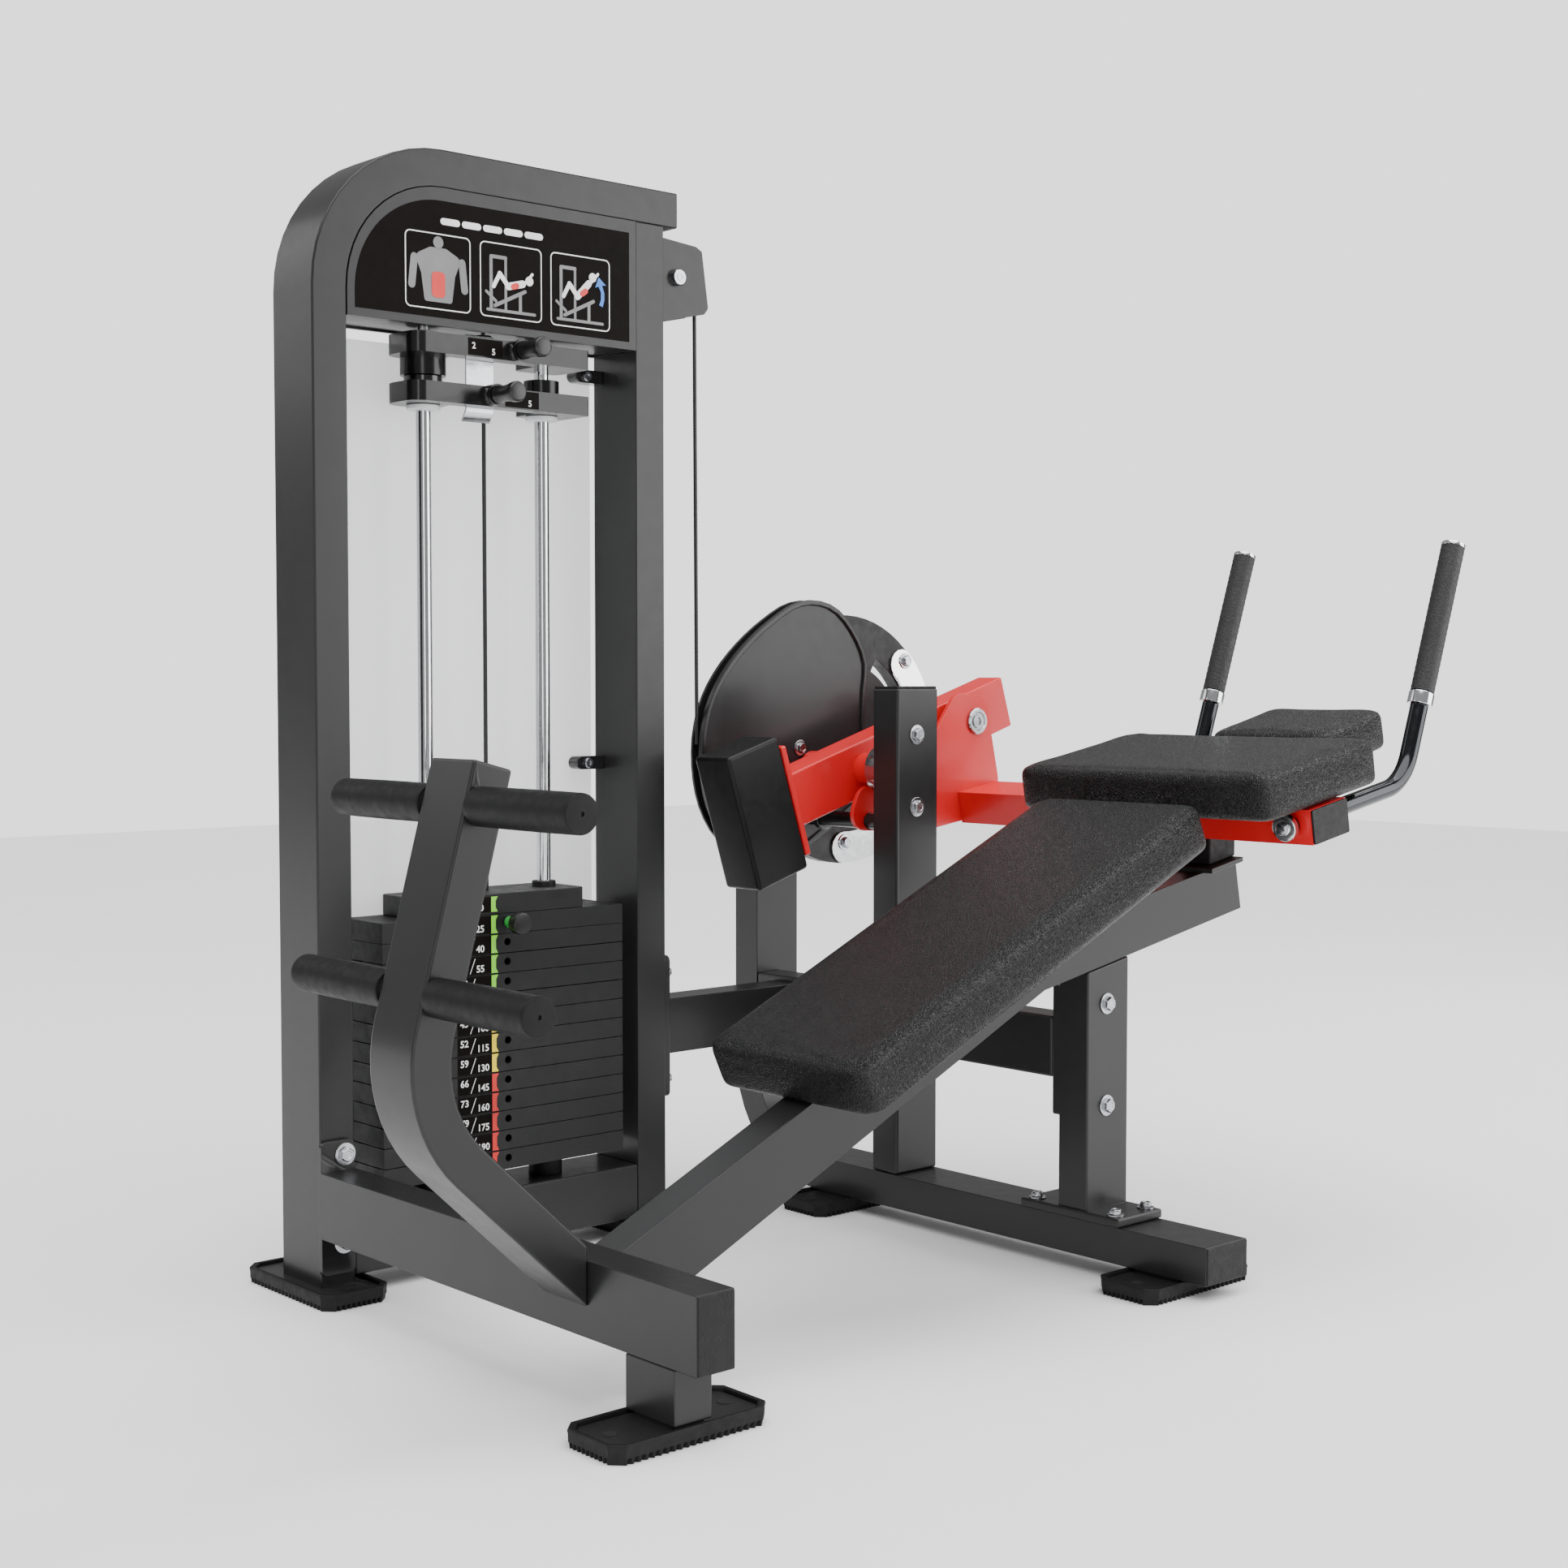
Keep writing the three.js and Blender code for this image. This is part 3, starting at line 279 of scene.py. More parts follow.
BLACK = powder_coat("satin_black_paint", (0.0138, 0.0138, 0.0144), 0.285, 0.345, 0.06)
ENAMEL = powder_coat("gloss_black_enamel", (0.006, 0.006, 0.0064), 0.16, 0.24, 0.12)
RED = powder_coat("satin_red_paint", (0.60, 0.011, 0.014), 0.285, 0.36, 0.08)
CHROME = bright_metal("polished_chrome", (0.80, 0.81, 0.83), 0.06, 0.14)
DARK_CHROME = bright_metal("smoked_chrome", (0.050, 0.052, 0.056), 0.10, 0.18)
ZINC = bright_metal("zinc_plate", (0.46, 0.47, 0.49), 0.16, 0.26, 1400.0)
VINYL = vinyl("black_vinyl", (0.0024, 0.0024, 0.0026))
FOAM = moulded("roller_foam", (0.0042, 0.0042, 0.0045), 0.46, 0.6, 1300.0, 0.00018, Specular_IOR_Level=0.2)
RUBBER = moulded("black_rubber", (0.005, 0.005, 0.0054), 0.5, 0.68, 420.0, 0.0003, Specular_IOR_Level=0.25)
GRIP = knurl("grip_rubber", (0.010, 0.010, 0.011))
CAP = moulded("pebbled_cap", (0.006, 0.006, 0.0064), 0.42, 0.58, 330.0, 0.0009, Specular_IOR_Level=0.25)
PLATE = cast("black_enamel", (0.008, 0.008, 0.0085))
DARK_COAT = moulded("dark_coated_steel", (0.0036, 0.0036, 0.0038), 0.30, 0.42, 240.0, 0.00006,
                    Specular_IOR_Level=0.25)
GLOSS = moulded("gloss_black_plastic", (0.008, 0.008, 0.009), 0.10, 0.2, 300.0, 0.00003, Coat_Weight=0.4)
KNOB = moulded("knob_plastic", (0.008, 0.008, 0.0085), 0.28, 0.38, 600.0, 0.00004)
GREEN = moulded("green_plastic", (0.03, 0.30, 0.05), 0.29, 0.38, 300.0, 0.00004)
WHITE = moulded("white_nylon", (0.72, 0.73, 0.74), 0.32, 0.45, 500.0, 0.00005)
ROPE = rope_look("coated_rope", (0.008, 0.008, 0.009))
# Painted shade: dark discs in this colour sit at the bottom of holes in the rollers and feet, standing in for
# the shade inside them.
HOLE_SHADE = moulded("painted_hole_shade", (0.004, 0.004, 0.004), 0.6, 0.8)
PRINT_BLACK = moulded("placard_black", (0.0045, 0.0032, 0.0029), 0.5, 0.6, 800.0, 0.00002,
                      Specular_IOR_Level=0.06)
PRINT_WHITE = moulded("print_white", (0.80, 0.80, 0.80), 0.42, 0.5, 800.0, 0.00001)
PRINT_GREY = moulded("print_grey", (0.17, 0.17, 0.175), 0.42, 0.5, 800.0, 0.00001)
PRINT_RED = moulded("print_red", (0.62, 0.02, 0.015), 0.38, 0.48, 800.0, 0.00001)
PRINT_YELLOW = moulded("print_yellow", (0.86, 0.60, 0.01), 0.38, 0.48, 800.0, 0.00001)
PRINT_GREEN = moulded("print_green", (0.20, 0.62, 0.03), 0.38, 0.48, 800.0, 0.00001)
PRINT_BLUE = moulded("print_blue", (0.03, 0.16, 0.55), 0.38, 0.48, 800.0, 0.00001)


def frosted(name):
    look = Look(name, (0.90, 0.91, 0.92), 0.4, Alpha=0.38)
    look.mottle(look.spread(look.noise(5.0, 3.0), 0.0, 1.0), (0.93, 0.94, 0.95))
    look.rough(look.noise(45.0, 4.0), 0.32, 0.46)
    look.bump(look.noise(240.0, 2.0), 0.00008, 0.4)
    return look.mat


SHEET = frosted("frosted_sheet")

# ------------------------------------------------------------------ mesh helpers


def turned_to(axis):
    """The turn that takes +Z to the axis."""
    return Vector(axis).normalized().to_track_quat("Z", "Y").to_matrix().to_4x4()


def rounded(points, steps):
    """Corner points with an optional third number, the radius of that corner, as arcs of that many steps."""
    out = []
    count = len(points)
    for i, point in enumerate(points):
        p = Vector(point[:2])
        r = point[2] if len(point) > 2 else 0
        if not r:
            out.append(p)
            continue
        back = (Vector(points[i - 1][:2]) - p).normalized()
        ahead = (Vector(points[(i + 1) % count][:2]) - p).normalized()
        half = back.angle(ahead) / 2
        centre = p + (back + ahead).normalized() * (r / math.sin(half))
        first = p + back * (r / math.tan(half)) - centre
        last = p + ahead * (r / math.tan(half)) - centre
        sweep = math.atan2(last.y, last.x) - math.atan2(first.y, first.x)
        sweep = (sweep + math.pi) % (2 * math.pi) - math.pi
        start = math.atan2(first.y, first.x)
        for k in range(steps + 1):
            a = start + sweep * k / steps
            out.append(centre + Vector((math.cos(a), math.sin(a))) * r)
    return out


def box_outline(x0, x1, y0, y1, r=0.0):
    """Four corners for rounded(), each with the radius r."""
    return [(x0, y0, r), (x1, y0, r), (x1, y1, r), (x0, y1, r)]


def loft(bm, loops, closed_ends=True):
    """Skins rings of equal count, each a list of points in metres."""
    rings = [[bm.verts.new(p) for p in loop] for loop in loops]
    count = len(rings[0])
    for low, high in zip(rings, rings[1:]):
        for k in range(count):
            j = (k + 1) % count
            bm.faces.new((low[k], low[j], high[j], high[k]))
    if closed_ends:
        bm.faces.new(rings[0][::-1])
        bm.faces.new(rings[-1])
    return rings


def slab(bm, points, y0, y1, edge):
    """An X-Z outline in layout millimetres, run along Y, with its two rims eased by edge."""
    middle = sum((Vector(p) for p in points), Vector((0, 0))) / len(points)

    def ring(inset, y):
        loop = []
        for p in points:
            away = Vector(p) - middle
            q = Vector(p) - away.normalized() * inset
            loop.append(at(q.x, y, q.y))
        return loop

    stops = [(edge, y0), (edge * 0.3, y0 + edge * 0.3), (0.0, y0 + edge),
             (0.0, y1 - edge), (edge * 0.3, y1 - edge * 0.3), (edge, y1)]
    loft(bm, [ring(inset, y) for inset, y in stops])


def lathe(bm, place, axis, profile, count):
    """Turns (radius, height) pairs, in millimetres, about an axis through a row-frame point."""
    turn = Matrix.Translation(place) @ turned_to(axis)
    rings = []
    for r, h in profile:
        if r < 1e-6:
            rings.append([bm.verts.new(turn @ Vector((0, 0, h * MM)))])
            continue
        angles = [2 * math.pi * k / count for k in range(count)]
        rings.append([bm.verts.new(turn @ Vector((r * MM * math.cos(a), r * MM * math.sin(a), h * MM)))
                      for a in angles])
    for low, high in zip(rings, rings[1:]):
        for k in range(count):
            j = (k + 1) % count
            corners = [low[k % len(low)], low[j % len(low)], high[j % len(high)], high[k % len(high)]]
            corners = list(dict.fromkeys(corners))
            if len(corners) > 2:
                bm.faces.new(corners)
    for ring, order in ((rings[0], -1), (rings[-1], 1)):
        if len(ring) > 2:
            bm.faces.new(ring[::order])


def sweep(bm, path, radius, count):
    """A tube along row-frame points, closed at both ends."""
    side = None
    loops = []
    for i, p in enumerate(path):
        ahead = (path[min(i + 1, len(path) - 1)] - path[max(i - 1, 0)]).normalized()
        if side is None:
            side = ahead.orthogonal().normalized()
        side = (side - ahead * side.dot(ahead)).normalized()
        up = ahead.cross(side)
        angles = [2 * math.pi * k / count for k in range(count)]
        loops.append([p + (side * math.cos(a) + up * math.sin(a)) * (radius * MM) for a in angles])
    loft(bm, loops)


def block(bm, x, y, z, ease):
    """A layout box with eased edges."""
    made = bmesh.ops.create_cube(bm, size=1.0)["verts"]
    size = Vector((x[1] - x[0], y[1] - y[0], z[1] - z[0])) * MM
    centre = at(sum(x) / 2, sum(y) / 2, sum(z) / 2)
    for v in made:
        v.co = centre + Vector(a * b for a, b in zip(v.co, size))
    edges = {e for v in made for e in v.link_edges}
    bmesh.ops.bevel(bm, geom=list(edges), offset=ease * MM, segments=3, profile=0.5, affect="EDGES",
                    clamp_overlap=True)


def finish_mesh(obj, flat=False):
    """Smooth shading with sharp edges kept, or plain flat faces."""
    for face in obj.data.polygons:
        face.use_smooth = not flat
    if flat:
        return
    obj.data.set_sharp_from_angle(angle=math.radians(42))
    modifier = obj.modifiers.new("normals", "WEIGHTED_NORMAL")
    modifier.keep_sharp = True
    modifier.weight = 80


def piece(name, bm, body, mat, replaces=(), flat=False):
    """Turns the built mesh into one named piece that rides on a body."""
    bmesh.ops.recalc_face_normals(bm, faces=bm.faces)
    mesh = bpy.data.meshes.new(name)
    bm.to_mesh(mesh)
    bm.free()
    obj = bpy.data.objects.new(name, mesh)
    bpy.context.scene.collection.objects.link(obj)
    obj.data.materials.append(mat)
    finish_mesh(obj, flat)
    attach(obj, body)
    if replaces:
        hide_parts(*replaces)
    return obj


def body_of(node):
    return NODES[node]["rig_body"]


def dressed(node, mat, ease):
    """The CAD node's own shape with eased edges and smooth round faces."""
    bm = bmesh.new()
    bm.from_mesh(NODES[node].data)
    bmesh.ops.remove_doubles(bm, verts=bm.verts, dist=2e-5)
    bmesh.ops.dissolve_limit(bm, angle_limit=math.radians(0.6), verts=bm.verts, edges=bm.edges)
    bmesh.ops.recalc_face_normals(bm, faces=bm.faces)
    if ease:
        sharp = [e for e in bm.edges if len(e.link_faces) == 2 and e.is_convex
                 and e.calc_face_angle(0.0) > math.radians(40)]
        bmesh.ops.bevel(bm, geom=sharp, offset=ease * MM, segments=3, profile=0.5, affect="EDGES",
                        clamp_overlap=True)
    return piece(node + "_shell", bm, body_of(node), mat, (node,))


# ------------------------------------------------------------------ frame, plates and fittings

SHELLS = (
    (BLACK, "black_frame_paint", {
        "tower_frame": 4.5, "tower_rear_upright": 4.0, "tower_lower_beam": 3.0, "placard_housing": 1.2,
        "rear_pulley_bracket": 1.0, "front_base_beam": 4.0, "front_stub": 3.0, "footrest_arm": 3.5,
        "bench_beam": 3.5, "rear_frame": 4.0, "shaft_post": 4.0, "bench_post": 3.0, "tie_beam": 3.0,
        "cam_disc": 0.8, "drive_rod": 1.5}),
    (RED, "red_arm_paint", {"swing_lever": 3.5, "arm_gusset": 1.5, "pad_tube": 3.0}),
    (CHROME, "chrome", {"guide_rod_left": 0.0, "guide_rod_right": 0.0, "range_strip": 0.6}),
    (ZINC, "zinc_steel", {
        "front_pulley": 0.5, "rear_pulley": 0.5, "shaft_bearing_near": 1.5,
        "shaft_bearing_far": 1.5, "selector_stem": 0.0, "hanger_strap": 0.4}),
    (RUBBER, "black_rubber", {"rod_bumper_left": 2.0, "rod_bumper_right": 2.0, "bench_stop_bumper": 3.0}),
    (PLATE, "black_plate", {
        "resting_plates": 0.9, "top_plate": 1.2, "head_plate": 2.0, "range_plate": 1.0}),
    (DARK_COAT, "black_plate", {"counterweight": 7.0}),
    (ENAMEL, "black_plate", {"addon_weight_lower": 1.8, "addon_weight_upper": 1.8}),
    (ROPE, "coated_rope", {"lift_cable": 0.0, "over_cable": 0.0, "cam_cable": 0.0}),
    (SHEET, "white_sheet", {"shroud_panel": 0.0}),
)
for finish, slot_name, nodes in SHELLS:
    for node_name, ease in nodes.items():
        dressed(node_name, finish, ease)

# The lifting rope's shell gets a mesh of its own. On the machine this rope shortens towards the front pulley
# as the stack rises.
lift_rope = bpy.data.objects["lift_cable_shell"]
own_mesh(lift_rope)

# ------------------------------------------------------------------ cushions


CORNER, EDGE, LOWER_EDGE = 24, 12, 8.0
SHRINK = 1.2  # what the blank leaves for its swelling
BOARD_INSET, BOARD_THICK, BOARD_CORNER = 14, 3.0, 12


def rounded_slab(length, width, thick):
    """A cushion blank lying along +X from 0, its top at z 0, both of its edges rounded."""
    bm = bmesh.new()

    def ring(inset, z):
        points = rounded(box_outline(inset, length - inset, -width / 2 + inset, width / 2 - inset,
                                     max(CORNER - inset, 3.0)), 7)
        return [Vector((p.x, p.y, z)) * MM for p in points]

    stops = []
    for k in range(5):
        a = math.pi / 2 * k / 4
        stops.append((LOWER_EDGE * (1 - math.sin(a)), -thick + LOWER_EDGE * (1 - math.cos(a))))
    for k in range(7):
        a = math.pi / 2 * k / 6
        stops.append((EDGE * (1 - math.cos(a)), -EDGE + EDGE * math.sin(a)))
    loft(bm, [ring(inset, z) for inset, z in stops])
    bmesh.ops.triangulate(bm, faces=bm.faces)
    return bm


def evaluated_copy(obj):
    """The object's mesh as its modifiers leave it."""
    depsgraph = bpy.context.evaluated_depsgraph_get()
    return bpy.data.meshes.new_from_object(obj.evaluated_get(depsgraph), depsgraph=depsgraph)


SIM_FRAMES, VOXEL = 20, 4.5
PRESSURE, HELD_HEIGHT = 3.2, 6.0
MOST_SWELL, MOST_SLIDE = 2.6, 1.0


def inflate(obj, thick):
    """Swells the cushion as cloth under pressure, its underside held to the board."""
    remesh = obj.modifiers.new("remesh", "REMESH")
    remesh.mode = "VOXEL"
    remesh.voxel_size = VOXEL * MM
    obj.data = evaluated_copy(obj)
    obj.modifiers.clear()
    rest = [(v.co.copy(), v.normal.copy()) for v in obj.data.vertices]
    held = obj.vertex_groups.new(name="board")
    held.add([v.index for v in obj.data.vertices if v.co.z < (-thick + HELD_HEIGHT) * MM], 1.0, "REPLACE")
    cloth = obj.modifiers.new("cloth", "CLOTH")
    cloth.settings.vertex_group_mass = "board"
    cloth.settings.quality = 5
    cloth.settings.mass = 0.35
    cloth.settings.tension_stiffness = 40.0
    cloth.settings.compression_stiffness = 40.0
    cloth.settings.shear_stiffness = 14.0
    cloth.settings.bending_stiffness = 2.5
    cloth.settings.use_pressure = True
    cloth.settings.uniform_pressure_force = PRESSURE
    cloth.settings.effector_weights.gravity = 0.0
    cloth.collision_settings.use_collision = False
    cloth.point_cache.frame_start = 1
    cloth.point_cache.frame_end = SIM_FRAMES
    for step in range(1, SIM_FRAMES + 1):
        bpy.context.scene.frame_set(step)
    swollen = evaluated_copy(obj)
    for v, (home, out) in zip(swollen.vertices, rest):
        moved = v.co - home
        swell = moved.dot(out)
        slide = (moved - out * swell) * 0.3
        if slide.length > MOST_SLIDE * MM:
            slide = slide.normalized() * (MOST_SLIDE * MM)
        v.co = home + out * min(max(swell, 0.0), MOST_SWELL * MM) + slide
        v.co.z = max(v.co.z, -thick * MM)
    obj.modifiers.clear()
    obj.vertex_groups.clear()
    obj.data = swollen
    bpy.context.scene.frame_set(1)


def relax(mesh):
    """Two rounds of smoothing."""
    bm = bmesh.new()
    bm.from_mesh(mesh)
    for _ in range(2):
        bmesh.ops.smooth_vert(bm, verts=bm.verts, factor=0.5,
                              use_axis_x=True, use_axis_y=True, use_axis_z=True)
    bm.to_mesh(mesh)
    bm.free()


def cushion(name, node, low, tilt, size, width_y):
    """low is the top low corner in layout X and Z, size is length and thickness."""
    length, thick = size
    middle = (width_y[0] + width_y[1]) / 2
    width = width_y[1] - width_y[0]
    place = Matrix.Translation(at(low[0], middle, low[1])) @ Matrix.Rotation(-tilt, 4, "Y")
    bm = rounded_slab(length - 2 * SHRINK, width - 2 * SHRINK, thick - SHRINK)
    mesh = bpy.data.meshes.new(name)
    bm.to_mesh(mesh)
    bm.free()
    obj = bpy.data.objects.new(name, mesh)
    bpy.context.scene.collection.objects.link(obj)
    inflate(obj, thick - SHRINK)
    relax(obj.data)
    obj.data.transform(place @ Matrix.Translation(Vector((SHRINK, 0, -SHRINK)) * MM))
    obj.data.materials.clear()
    obj.data.materials.append(VINYL)
    for face in obj.data.polygons:
        face.use_smooth = True
    smooth = obj.modifiers.new("subdivision", "SUBSURF")
    smooth.levels = smooth.render_levels = 1
    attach(obj, body_of(node))
    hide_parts(node)
    bm = bmesh.new()
    outline = rounded(box_outline(BOARD_INSET, length - BOARD_INSET,
                                  -width / 2 + BOARD_INSET, width / 2 - BOARD_INSET, BOARD_CORNER), 6)
    loft(bm, [[place @ (Vector((p.x, p.y, z)) * MM) for p in outline]
              for z in (-thick, -thick + BOARD_THICK)])
    piece(name + "_board", bm, body_of(node), BOARD)


BOARD = moulded("board_cover", (0.010, 0.010, 0.010), 0.55, 0.7, 900.0, 0.0001)
BENCH_SLOPE = math.radians(24.56)
PAD_TILT = math.radians(10.4)
HEAD_TILT = math.radians(13.2)
cushion("bench_cushion", "bench_pad", (335, 356), BENCH_SLOPE, (705, 65.5), (-648, -358))
cushion("back_cushion", "back_pad", (1005, 683.5), PAD_TILT, (272, 64.5), (-726, -274))
cushion("head_cushion", "head_pad", (1307, 732), HEAD_TILT, (173, 60), (-606, -394))

# ------------------------------------------------------------------ foot rollers

ROLLERS = {"upper": (-120, 679), "lower": (-173, 482)}
ROLLER_SPANS = {"near": (-728.5, -546.5), "far": (-459.5, -277.5)}
ROLLER_RADIUS, ROLLER_SWELL, AXLE_HOLE = 21.3, 0.4, 8.7
RIM = [(19.4, 0.0), (20.6, 0.5), (21.1, 1.6), (ROLLER_RADIUS, 4.0)]
END_HOLE = [(0, 3.0), (2.2, 3.0), (2.5, 0.0)]


def from_far_end(profile, long):
    """The same profile, read back from the other end of a piece."""
    return [(r, long - h) for r, h in reversed(profile)]


# A foam sleeve, a dark disc deep in its outer end as painted shade in the axle hole, and a washer at its
# inner one.
for level, (x, z) in ROLLERS.items():
    for side, (y0, y1) in ROLLER_SPANS.items():
        bm = bmesh.new()
        long = y1 - y0
        barrel = [(ROLLER_RADIUS + ROLLER_SWELL * math.sin(math.pi * k / 8), 8 + (long - 16) * k / 8)
                  for k in range(9)]
        profile = RIM + barrel + from_far_end(RIM, long)
        if side == "near":
            profile = END_HOLE + profile + [(AXLE_HOLE, long)]
        else:
            profile = [(AXLE_HOLE, 0.0)] + profile + from_far_end(END_HOLE, long)
        lathe(bm, at(x, y0, z), INWARD, profile, 48)
        foam = piece(f"roller_{level}_{side}_foam", bm, f"roller_{level}_{side}", FOAM,
                     (f"foot_roller_{level}_{side}",))
        # The dark disc at the bottom of the end hole is painted shade, standing in for the shade deep in the
        # hole.
        end, way = (y0, 1) if side == "near" else (y1, -1)
        bm = bmesh.new()
        lathe(bm, at(x, end, z), (0, way, 0), [(0, 2.2), (2.1, 2.2), (2.1, 2.8), (0, 2.8)], 24)
        piece(f"roller_{level}_{side}_plug", bm, f"roller_{level}_{side}", HOLE_SHADE)
        bm = bmesh.new()
        inside, into = (y1, 1) if side == "near" else (y0, -1)
        lathe(bm, at(x, inside + 0.2 * into, z), (0, into, 0), [(8.4, 0), (17, 0), (17, 1.0), (8.4, 1.0)], 32)
        piece(f"axle_{level}_{side}_washer", bm, "frame", ZINC)

# ------------------------------------------------------------------ handles

PAD_LINE = (1105, 610)
GRIP_CORE = 13.6


def on_pad_line(x):
    """Height of the pad tube's middle line at x."""
    return PAD_LINE[1] + (x - PAD_LINE[0]) * math.tan(PAD_TILT)


BEND = Vector((1389, on_pad_line(1389)))
GRIP_LOW, GRIP_HIGH = Vector((1437, 794)), Vector((1508, 992))
RISE = (GRIP_HIGH - BEND).normalized()
GRIP_FROM, GRIP_TO = (GRIP_LOW - BEND).length, (GRIP_HIGH - BEND).length + 24
BEND_RADIUS = 75.0


def up_handle(d, y):
    """The point d past the bend, up the raised part of a handle."""
    return at(BEND.x + RISE.x * d, y, BEND.y + RISE.y * d)


def handle_path(y):
    """Along the pad tube, round the bend and up to the top of the grip."""
    run = Vector((math.cos(PAD_TILT), math.sin(PAD_TILT)))
    turn = run.angle(RISE)
    reach = BEND_RADIUS * math.tan(turn / 2)
    start = BEND - run * reach
    centre = start + Vector((-run.y, run.x)) * BEND_RADIUS
    points = [Vector((1103, on_pad_line(1103))), Vector((1200, on_pad_line(1200)))]
    for k in range(15):
        a = turn * k / 14
        out = Matrix.Rotation(a, 2) @ (start - centre)
        points.append(centre + out)
    points.append(BEND + RISE * (GRIP_TO - 8))
    return [at(p.x, y, p.y) for p in points]


for side, y in (("near", -689.0), ("far", -311.0)):
    bm = bmesh.new()
    sweep(bm, handle_path(y), 13.0, 32)
    piece(f"handle_{side}_rod", bm, f"handle_{side}", DARK_CHROME, (f"handle_tube_{side}",))
    bm = bmesh.new()
    axis = up_handle(1, y) - up_handle(0, y)
    lathe(bm, up_handle(GRIP_FROM - 20, y), axis,
          [(13.1, 0), (17.8, 0), (18.5, 0.8), (18.5, 17.4), (17.8, 18.4), (13.1, 18.4)], 40)
    cap_at = up_handle(GRIP_TO - 6, y)
    lathe(bm, cap_at, axis,
          [(0, 0.3), (17.3, 0.3), (17.5, 1.0), (17.5, 5.0), (16.6, 6.0), (10, 6.0), (9, 5.2), (0, 5.2)], 40)
    piece(f"handle_{side}_collars", bm, f"handle_{side}", CHROME)
    bm = bmesh.new()
    length = GRIP_TO - GRIP_FROM - 6
    profile = [(GRIP_CORE, 0), (16.6, 0), (17.4, 0.9)]
    rings = 46
    for k in range(rings + 1):
        h = 2 + (length - 4) * k / rings
        profile.append((17.45 if k % 2 else 17.05, h))
    profile += [(17.4, length - 0.9), (16.6, length), (GRIP_CORE, length)]
    lathe(bm, up_handle(GRIP_FROM, y), axis, profile, 40)
    piece(f"handle_{side}_sleeve", bm, f"handle_{side}", GRIP, (f"handle_grip_{side}",))
    bm = bmesh.new()
    foot_axis = Vector((math.cos(PAD_TILT), 0, math.sin(PAD_TILT)))
    lathe(bm, at(1098, y, on_pad_line(1098)), foot_axis,
          [(0, -1.5), (9, -1.5), (10, 0.0), (17.6, 0.0), (19, 1.2), (19, 9.2), (17.6, 10.4), (13.2, 10.4)],
          40)
    piece(f"handle_{side}_flange", bm, f"handle_{side}", CHROME)

# ------------------------------------------------------------------ rubber feet

# Middle of each sole, then its half sizes.
FEET = {
    "tower_front": (49.55, 97.0, 50, 109), "tower_rear": (573.75, 97.0, 50, 109),
    "footrest": (46.5, -653.5, 109, 50), "bench": (921.0, -648.0, 109, 50), "cam": (921.0, -14.0, 109, 50),
}
FOOT_CORNER, SCREW_REACH, SCREW_Z, TEETH_PITCH = 14, 79, 17.6, 11


def foot_ring(x, y, hx, hy, inset, z, teeth=0.0):
    """A chamfered rim; with teeth its long sides are notched."""
    points = []
    a, b = hx - inset, hy - inset
    corners = [(-a, -b), (a, -b), (a, b), (-a, b)]
    for i, (ax, ay) in enumerate(corners):
        bx, by = corners[(i + 1) % 4]
        span = math.hypot(bx - ax, by - ay)
        ux, uy = (bx - ax) / span, (by - ay) / span
        run = span - 2 * FOOT_CORNER
        count = max(2, round((hx if i % 2 == 0 else hy) * 2 / TEETH_PITCH)) * 4
        for k in range(count + 1):
            d = FOOT_CORNER + run * k / count
            bite = teeth if (k % 4) in (1, 2) else 0.0
            points.append(at(x + ax + ux * d - uy * bite, y + ay + uy * d + ux * bite, z))
    return points


for name, (x, y, hx, hy) in FEET.items():
    bm = bmesh.new()
    stops = [(2.5, 0.0, 3.2), (2.0, 5.6, 3.2), (1.2, 7.2, 0.0), (1.0, 16.0, 0.0), (0.4, 19.5, 0.0),
             (1.2, 21.6, 0.0), (3.5, 22.0, 0.0), (6.4, 21.0, 0.0), (7.5, 18.0, 0.0), (7.6, 12.0, 0.0)]
    loft(bm, [foot_ring(x, y, hx, hy, *stop) for stop in stops])
    piece(f"foot_{name}_rubber", bm, "frame", RUBBER, (f"foot_{name}",))
    # Dark discs at the two screw holes are painted shade in the holes.
    bm = bmesh.new()
    along = (SCREW_REACH, 0) if hx > hy else (0, SCREW_REACH)
    for way in (-1, 1):
        spot = at(x + along[0] * way, y + along[1] * way, SCREW_Z)
        lathe(bm, spot, UP,
              [(0, 0), (8.5, 0), (8.5, 0.4), (7.6, 0.6), (6.6, 0.4), (6.4, 0.15), (0, 0.15)], 28)
    piece(f"foot_{name}_holes", bm, "frame", HOLE_SHADE)

# ------------------------------------------------------------------ bolts, caps and small fittings


def hex_bolt(bm, place, axis, size, washer):
    """A washer and a chamfered six-sided head with a shallow cup on top."""
    lathe(bm, place, axis,
          [(0, 0), (washer - 0.4, 0), (washer, 0.4), (washer, 1.6), (washer - 0.6, 2.1), (0, 2.1)], 28)
    turn = Matrix.Translation(place) @ turned_to(axis)
    loops = []
    for r, h in ((size, 2.1), (size, 7.2), (size * 0.88, 8.6), (size * 0.62, 8.6), (size * 0.55, 8.0)):
        round_to = min(1.0, max(0.0, (h - 7.2) / 1.4))
        loop = []
        for k in range(24):
            a = 2 * math.pi * k / 24
            flat = math.cos(math.pi / 6) / math.cos((a + math.pi / 6) % (math.pi / 3) - math.pi / 6)
            scale = flat + (min(flat, 0.93) - flat) * round_to
            loop.append(turn @ (Vector((r * scale * math.cos(a), r * scale * math.sin(a), h)) * MM))
        loops.append(loop)
    loft(bm, loops)


def socket_cap(bm, place, axis, r, high):
    """A round head with a hollow on top."""
    lathe(bm, place, axis,
          [(0, 0), (r, 0), (r, high * 0.75), (r * 0.86, high), (r * 0.45, high), (r * 0.42, high * 0.55),
           (0, high * 0.5)], 28)


def bolt_rows(bm, rows):
    """Each row has the way its bolts face, their head and washer radii, and their places."""
    for axis, size, washer, places in rows:
        for place in places:
            hex_bolt(bm, at(*place), axis, size, washer)


